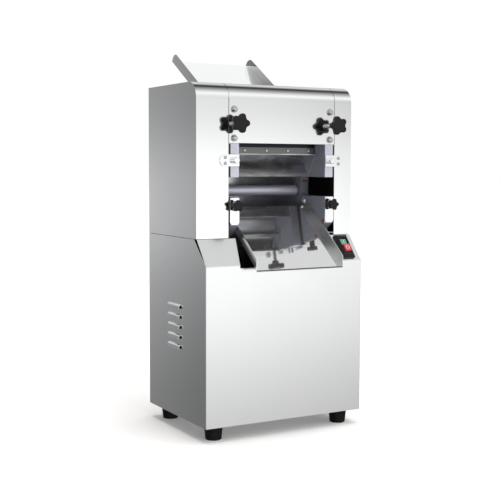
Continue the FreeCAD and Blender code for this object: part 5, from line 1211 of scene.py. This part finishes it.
def flat_ring(name, inner, outer, where, height):
    """A flat ring that stands up by height."""
    deselect_everything()
    bpy.ops.mesh.primitive_circle_add(vertices=32, radius=outer * MM, fill_type="NGON",
                                      location=place(*where))
    ring = called(name)
    fix_place(ring)
    edit(ring)
    pick_all()
    bpy.ops.mesh.inset(thickness=(outer - inner) * MM, depth=0)
    bpy.ops.mesh.delete(type="FACE")
    pick_all()
    pull(0, 0, height)
    return ring


def make_buttons():
    """Green start button, recessed, and red stop button, raised, each with its mark."""
    for name, slot, middle, reach, rise in (("start", "green_plastic", 12.5, 21.0, -3.0),
                                            ("stop", "red_plastic", -11.0, 24.0, 5.0)):
        top = SWITCH_HEIGHT + rise
        cap = block("cap", (-10.5, middle - reach / 2, 4.5), (10.5, middle + reach / 2, top))
        round_edges(cap, lambda p, way: near(p.z, top) or abs(way.z) > 0.9, 1.6, 4)
        if name == "start":
            mark = block("mark", (-0.9, middle - 5, top - 0.5), (0.9, middle + 5, top + 0.15))
            cap.data.materials.append(finish_called("Start green"))
        else:
            mark = flat_ring("mark", 4.6, 6.2, (0, middle, top - 0.5), 0.65)
            cap.data.materials.append(finish_called("Stop red"))
        mark.data.materials.append(finish_called("Button mark"))
        cap = joined(f"{name}_cap", [cap, mark])
        onto_slope(cap)
        turn_faces(cap)
        smooth_over(cap)
        hand_over(cap, name, slot, f"{name}_button")


def make_gland():
    """Cable gland with a hexagon, a domed nut and a round passage."""
    where = (150.0, DEPTH, 120.0)
    flange = [(-11, 9.6), (-10.4, 10), (0, 10), (0, 13.2), (0.6, 14), (4.2, 14), (5, 13.4)]
    nut = [(4.5, 10.6), (9, 10.4), (14, 9.2), (17, 7.6), (18, 6.4)]
    pieces = [turned("gland", flange, TOWARD_BACK, where, 6), turned("nut", nut, TOWARD_BACK, where, 32)]
    for piece in pieces:
        drill(piece, turned("passage", [(-20, 4), (30, 4)], TOWARD_BACK, where, 24))
    gland = joined("mains_gland", pieces)
    dress(gland, "machine_frame", "gland_plastic", "Gland plastic", "cable_gland")


# Pieces of the frame that keep their shape


FRAME_FINISHES = {
    "Side sheet": ("lower_rear_panel", "upper_rear_cover", "floor_plate", "tray_rest"),
    "Wall paint": ("left_wall_plate", "right_wall_plate", "front_cheek_plates"),
    "Machined steel": ("slide_caps", "front_bearing_blocks", "motor_shaft"),
    "Mirror sheet": ("rear_scraper_bar",),
    # The scraper blades and the wall tie bars get near-black steel as painted shade
    "Blued steel": ("front_scraper_blade", "rear_scraper_blade", "wall_tie_bars"),
    "Gear steel": ("front_roller_gear", "rear_roller_gear", "rear_drive_gear", "pinion_shaft"),
    "Bronze": ("bronze_bushes", "front_roller_bushes"),
    "Cast pulley": ("countershaft_bracket", "large_pulley", "motor_pulley"),
    "Bolt steel": ("hex_bolts",),
    "Frame paint": ("base_frame", "motor_plate"),
    "Motor paint": ("motor_housing", "motor_fan_cowl", "motor_terminal_box"),
    "Belt rubber": ("drive_belt",),
}


def finish_frame_pieces():
    """Gives the pieces that are kept from the frame their finishes."""
    for finish_name, names in FRAME_FINISHES.items():
        for name in names:
            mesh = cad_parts[name].data
            mesh.materials.clear()
            mesh.materials.append(finish_called(finish_name))


# Studio


CAMERA_PLACE = (-1.47009, -2.63284, 0.74223)
CAMERA_AZIMUTH, CAMERA_RISE, CAMERA_ROLL = math.radians(-29.414), math.radians(4.642), math.radians(0.177)
FLOOR_GLOW = 0.16
# Name, place, strength and breadth in degrees of the lamps, which aim at the middle of the machine
LAMPS = (("key_light", (1.1, -2.2, 2.9), 0.5, 50), ("overhead_light", (0, 0, 3), 1.3, 25))
# Tones of the room that metal mirrors, by the angle up from the front, in degrees, over the top to the back
MIRRORED_BY_PITCH = ((-180, 1.0), (-176, 1.0), (-173, 0.66), (-166, 0.38), (-155, 0.50), (-130, 0.12),
                     (-60, 0.12), (-36, 0.60), (-22, 0.52), (-17, 0.45), (-14.5, 0.64), (-12.4, 0.86),
                     (-9.3, 1.18), (-6, 1.32), (0, 1.12), (1, 1.06), (2.3, 0.90), (3.7, 0.77), (9, 0.76),
                     (23, 0.85), (38, 1.02), (45, 0.98), (61, 0.76), (70, 0.70), (78, 0.66), (100, 0.72),
                     (115, 0.90), (122, 1.0), (145, 0.85), (175, 0.55), (177, 0.62), (180, 0.92))
# The same by the turn from the back, in degrees, positive to the left, near the horizon
MIRRORED_BY_TURN = ((-180, 1.0), (-155, 1.04), (-149, 1.0), (-143, 0.76), (-120, 0.72), (-90, 0.85),
                    (-40, 0.80), (0, 0.85), (18, 0.84), (22, 0.78), (28, 0.34), (34, 0.24), (50, 0.26),
                    (70, 0.50), (90, 0.80), (135, 0.95), (180, 1.0))
# Between these heights of a direction of length one, the tone by turn fades out
NEAR_HORIZON = (0.15, 0.55)
# Light that falls on dull surfaces: most of it from above, the front and the right
LIGHT_BY_HEIGHT = ((-0.26, 0.55), (0.0, 0.60), (0.3, 0.80), (1.0, 1.0))
LIGHT_BY_TURN = ((-180, 1.25), (-150, 1.45), (-90, 1.1), (0, 0.7), (90, 0.30), (140, 0.45), (180, 1.25))


def make_camera():
    """The camera that took the machine's picture."""
    back = Vector((math.sin(CAMERA_AZIMUTH) * math.cos(CAMERA_RISE),
                   -math.cos(CAMERA_AZIMUTH) * math.cos(CAMERA_RISE), math.sin(CAMERA_RISE)))
    right = Vector((math.cos(CAMERA_AZIMUTH), math.sin(CAMERA_AZIMUTH), 0))
    up = back.cross(right)
    rolled_right = right * math.cos(CAMERA_ROLL) + up * math.sin(CAMERA_ROLL)
    rolled_up = up * math.cos(CAMERA_ROLL) - right * math.sin(CAMERA_ROLL)
    bpy.ops.object.camera_add(location=CAMERA_PLACE)
    camera = bpy.context.object
    camera.rotation_euler = Matrix((rolled_right, rolled_up, back)).transposed().to_euler()
    camera.data.lens = 73.77
    camera.data.sensor_width = 36.0
    camera.data.clip_end = 100
    bpy.context.scene.camera = camera


def make_floor():
    """Pale floor that shows white to the camera and keeps the machine's shadow."""
    bpy.ops.mesh.primitive_plane_add(size=60, location=(0, 0, 0))
    floor = bpy.context.object
    floor.name = "studio_floor"
    floor.visible_glossy = False
    tree, shader, _ = new_finish("Studio floor", Roughness=0.9, **{
        "Base Color": tint("floor"), SHINE: 0.0, "Emission Color": WHITE})
    seen = node(tree, "ShaderNodeLightPath").outputs["Is Camera Ray"]
    feed(tree, shader["Emission Strength"], reckoned(tree, "MULTIPLY", seen, FLOOR_GLOW))
    floor.data.materials.append(bpy.data.materials["Studio floor"])


def angle_of(tree, across, along):
    """The angle of a direction in degrees, from two of its parts."""
    return reckoned(tree, "DEGREES", reckoned(tree, "ARCTAN2", across, along))


def make_world():
    """A room that the camera sees white, with darker parts that metal mirrors, and soft light."""
    world = bpy.data.worlds.new("Studio room")
    bpy.context.scene.world = world
    world.use_nodes = True
    tree = world.node_tree
    tree.nodes.clear()
    way = parts(tree, node(tree, "ShaderNodeTexCoord").outputs["Generated"])
    leftward, forward = (reckoned(tree, "MULTIPLY", way[axis], -1.0) for axis in "XY")
    turn, pitch = angle_of(tree, leftward, way["Y"]), angle_of(tree, way["Z"], forward)
    above = fading(tree, way["Z"], *NEAR_HORIZON, interpolation_type="SMOOTHSTEP")
    sideways = mixed(tree, above, toned(tree, turn, MIRRORED_BY_TURN), WHITE)
    mirrored = reckoned_vector(tree, "MULTIPLY", toned(tree, pitch, MIRRORED_BY_PITCH), sideways)
    dull = reckoned_vector(tree, "MULTIPLY", toned(tree, way["Z"], LIGHT_BY_HEIGHT),
                           toned(tree, turn, LIGHT_BY_TURN))
    ray = node(tree, "ShaderNodeLightPath").outputs
    seen = mixed(tree, ray["Is Camera Ray"], mixed(tree, ray["Is Diffuse Ray"], mirrored, dull), WHITE)
    light = node(tree, "ShaderNodeBackground", Color=seen, Strength=1.0)
    node(tree, "ShaderNodeOutputWorld", Surface=light.outputs[0])


def make_lamps():
    """Broad lamps from the front right and from straight above, which metal doesn't mirror."""
    for name, spot, energy, breadth in LAMPS:
        bpy.ops.object.light_add(type="SUN", location=spot)
        lamp = bpy.context.object
        lamp.name = name
        lamp.data.energy = energy
        lamp.data.angle = math.radians(breadth)
        lamp.visible_glossy = False
        lamp.rotation_euler = (Vector((0, 0, 0.5)) - lamp.location).to_track_quat("-Z", "Y").to_euler()


def make_stage():
    """Room, floor, lamps and camera."""
    make_world()
    make_floor()
    make_lamps()
    make_camera()
    bpy.context.scene.view_settings.view_transform = "Standard"


# Operators, panel and registration


def operator(idname, label, *makers):
    """An operator class that makes one piece or a group of like pieces, described as its makers are."""
    def execute(self, context):
        for maker in makers:
            deselect_everything()
            maker()
        deselect_everything()
        return {"FINISHED"}

    return type(f"NOODLE_OT_{idname}", (bpy.types.Operator,),
                {"bl_idname": f"noodle.{idname}", "bl_label": label, "execute": execute,
                 "__doc__": " ".join(maker.__doc__ for maker in makers)})


OPERATORS = (
    operator("front_panel", "Lower front panel", make_front_panel),
    operator("side_panels", "Side panels", make_side_panels),
    operator("upper_covers", "Upper side covers", make_side_covers),
    operator("centre_cover", "Centre cover", make_centre_cover),
    operator("chute", "Infeed chute", make_chute),
    operator("tray", "Outfeed tray", make_tray),
    operator("feet", "Rubber feet", make_feet),
    operator("press_rollers", "Press rollers", make_press_rollers),
    operator("transfer_roller", "Transfer roller", make_transfer_roller),
    operator("scraper", "Scraper and guide", make_scraper_bar, make_scraper_screws, make_guide_plate),
    operator("gap_knobs", "Roller gap knobs", make_gap_knobs, make_gap_screws),
    operator("clamp_knobs", "Clamp knobs", make_clamp_knobs),
    operator("cap_bolts", "Cap bolts", make_cap_bolts),
    operator("sheet_screws", "Sheet screws", make_pan_screws),
    operator("lugs", "Cutter lugs", make_lugs),
    operator("straps", "Clamp straps", make_straps),
    operator("switch", "Switch", make_switch_housing, make_buttons),
    operator("gland", "Cable gland", make_gland),
    operator("frame_pieces", "Frame pieces", finish_frame_pieces),
    operator("studio", "Studio", make_stage),
)


class NOODLE_PT_machine(bpy.types.Panel):
    """Lists the pieces of the noodle machine, its sizes and its colours."""

    bl_label = "Noodle Machine"
    bl_idname = "NOODLE_PT_machine"
    bl_space_type = "VIEW_3D"
    bl_region_type = "UI"
    bl_category = "Noodle Machine"

    def draw(self, context):
        column = self.layout.column(align=True)
        for made in OPERATORS:
            column.operator(made.bl_idname)
        for settings in (context.scene.noodle_machine_sizes, context.scene.noodle_machine_colours):
            column.separator()
            for name in settings.__annotations__:
                column.prop(settings, name)


CLASSES = (NoodleMachineSizes, NoodleMachineColours, *OPERATORS, NOODLE_PT_machine)


def register():
    for made in CLASSES:
        bpy.utils.register_class(made)
    bpy.types.Scene.noodle_machine_sizes = bpy.props.PointerProperty(type=NoodleMachineSizes)
    bpy.types.Scene.noodle_machine_colours = bpy.props.PointerProperty(type=NoodleMachineColours)


def unregister():
    del bpy.types.Scene.noodle_machine_colours
    del bpy.types.Scene.noodle_machine_sizes
    for made in reversed(CLASSES):
        bpy.utils.unregister_class(made)


def main():
    register()
    for made in OPERATORS:
        group_name, name = made.bl_idname.split(".")
        getattr(getattr(bpy.ops, group_name), name)()


if __name__ == "__main__":
    main()
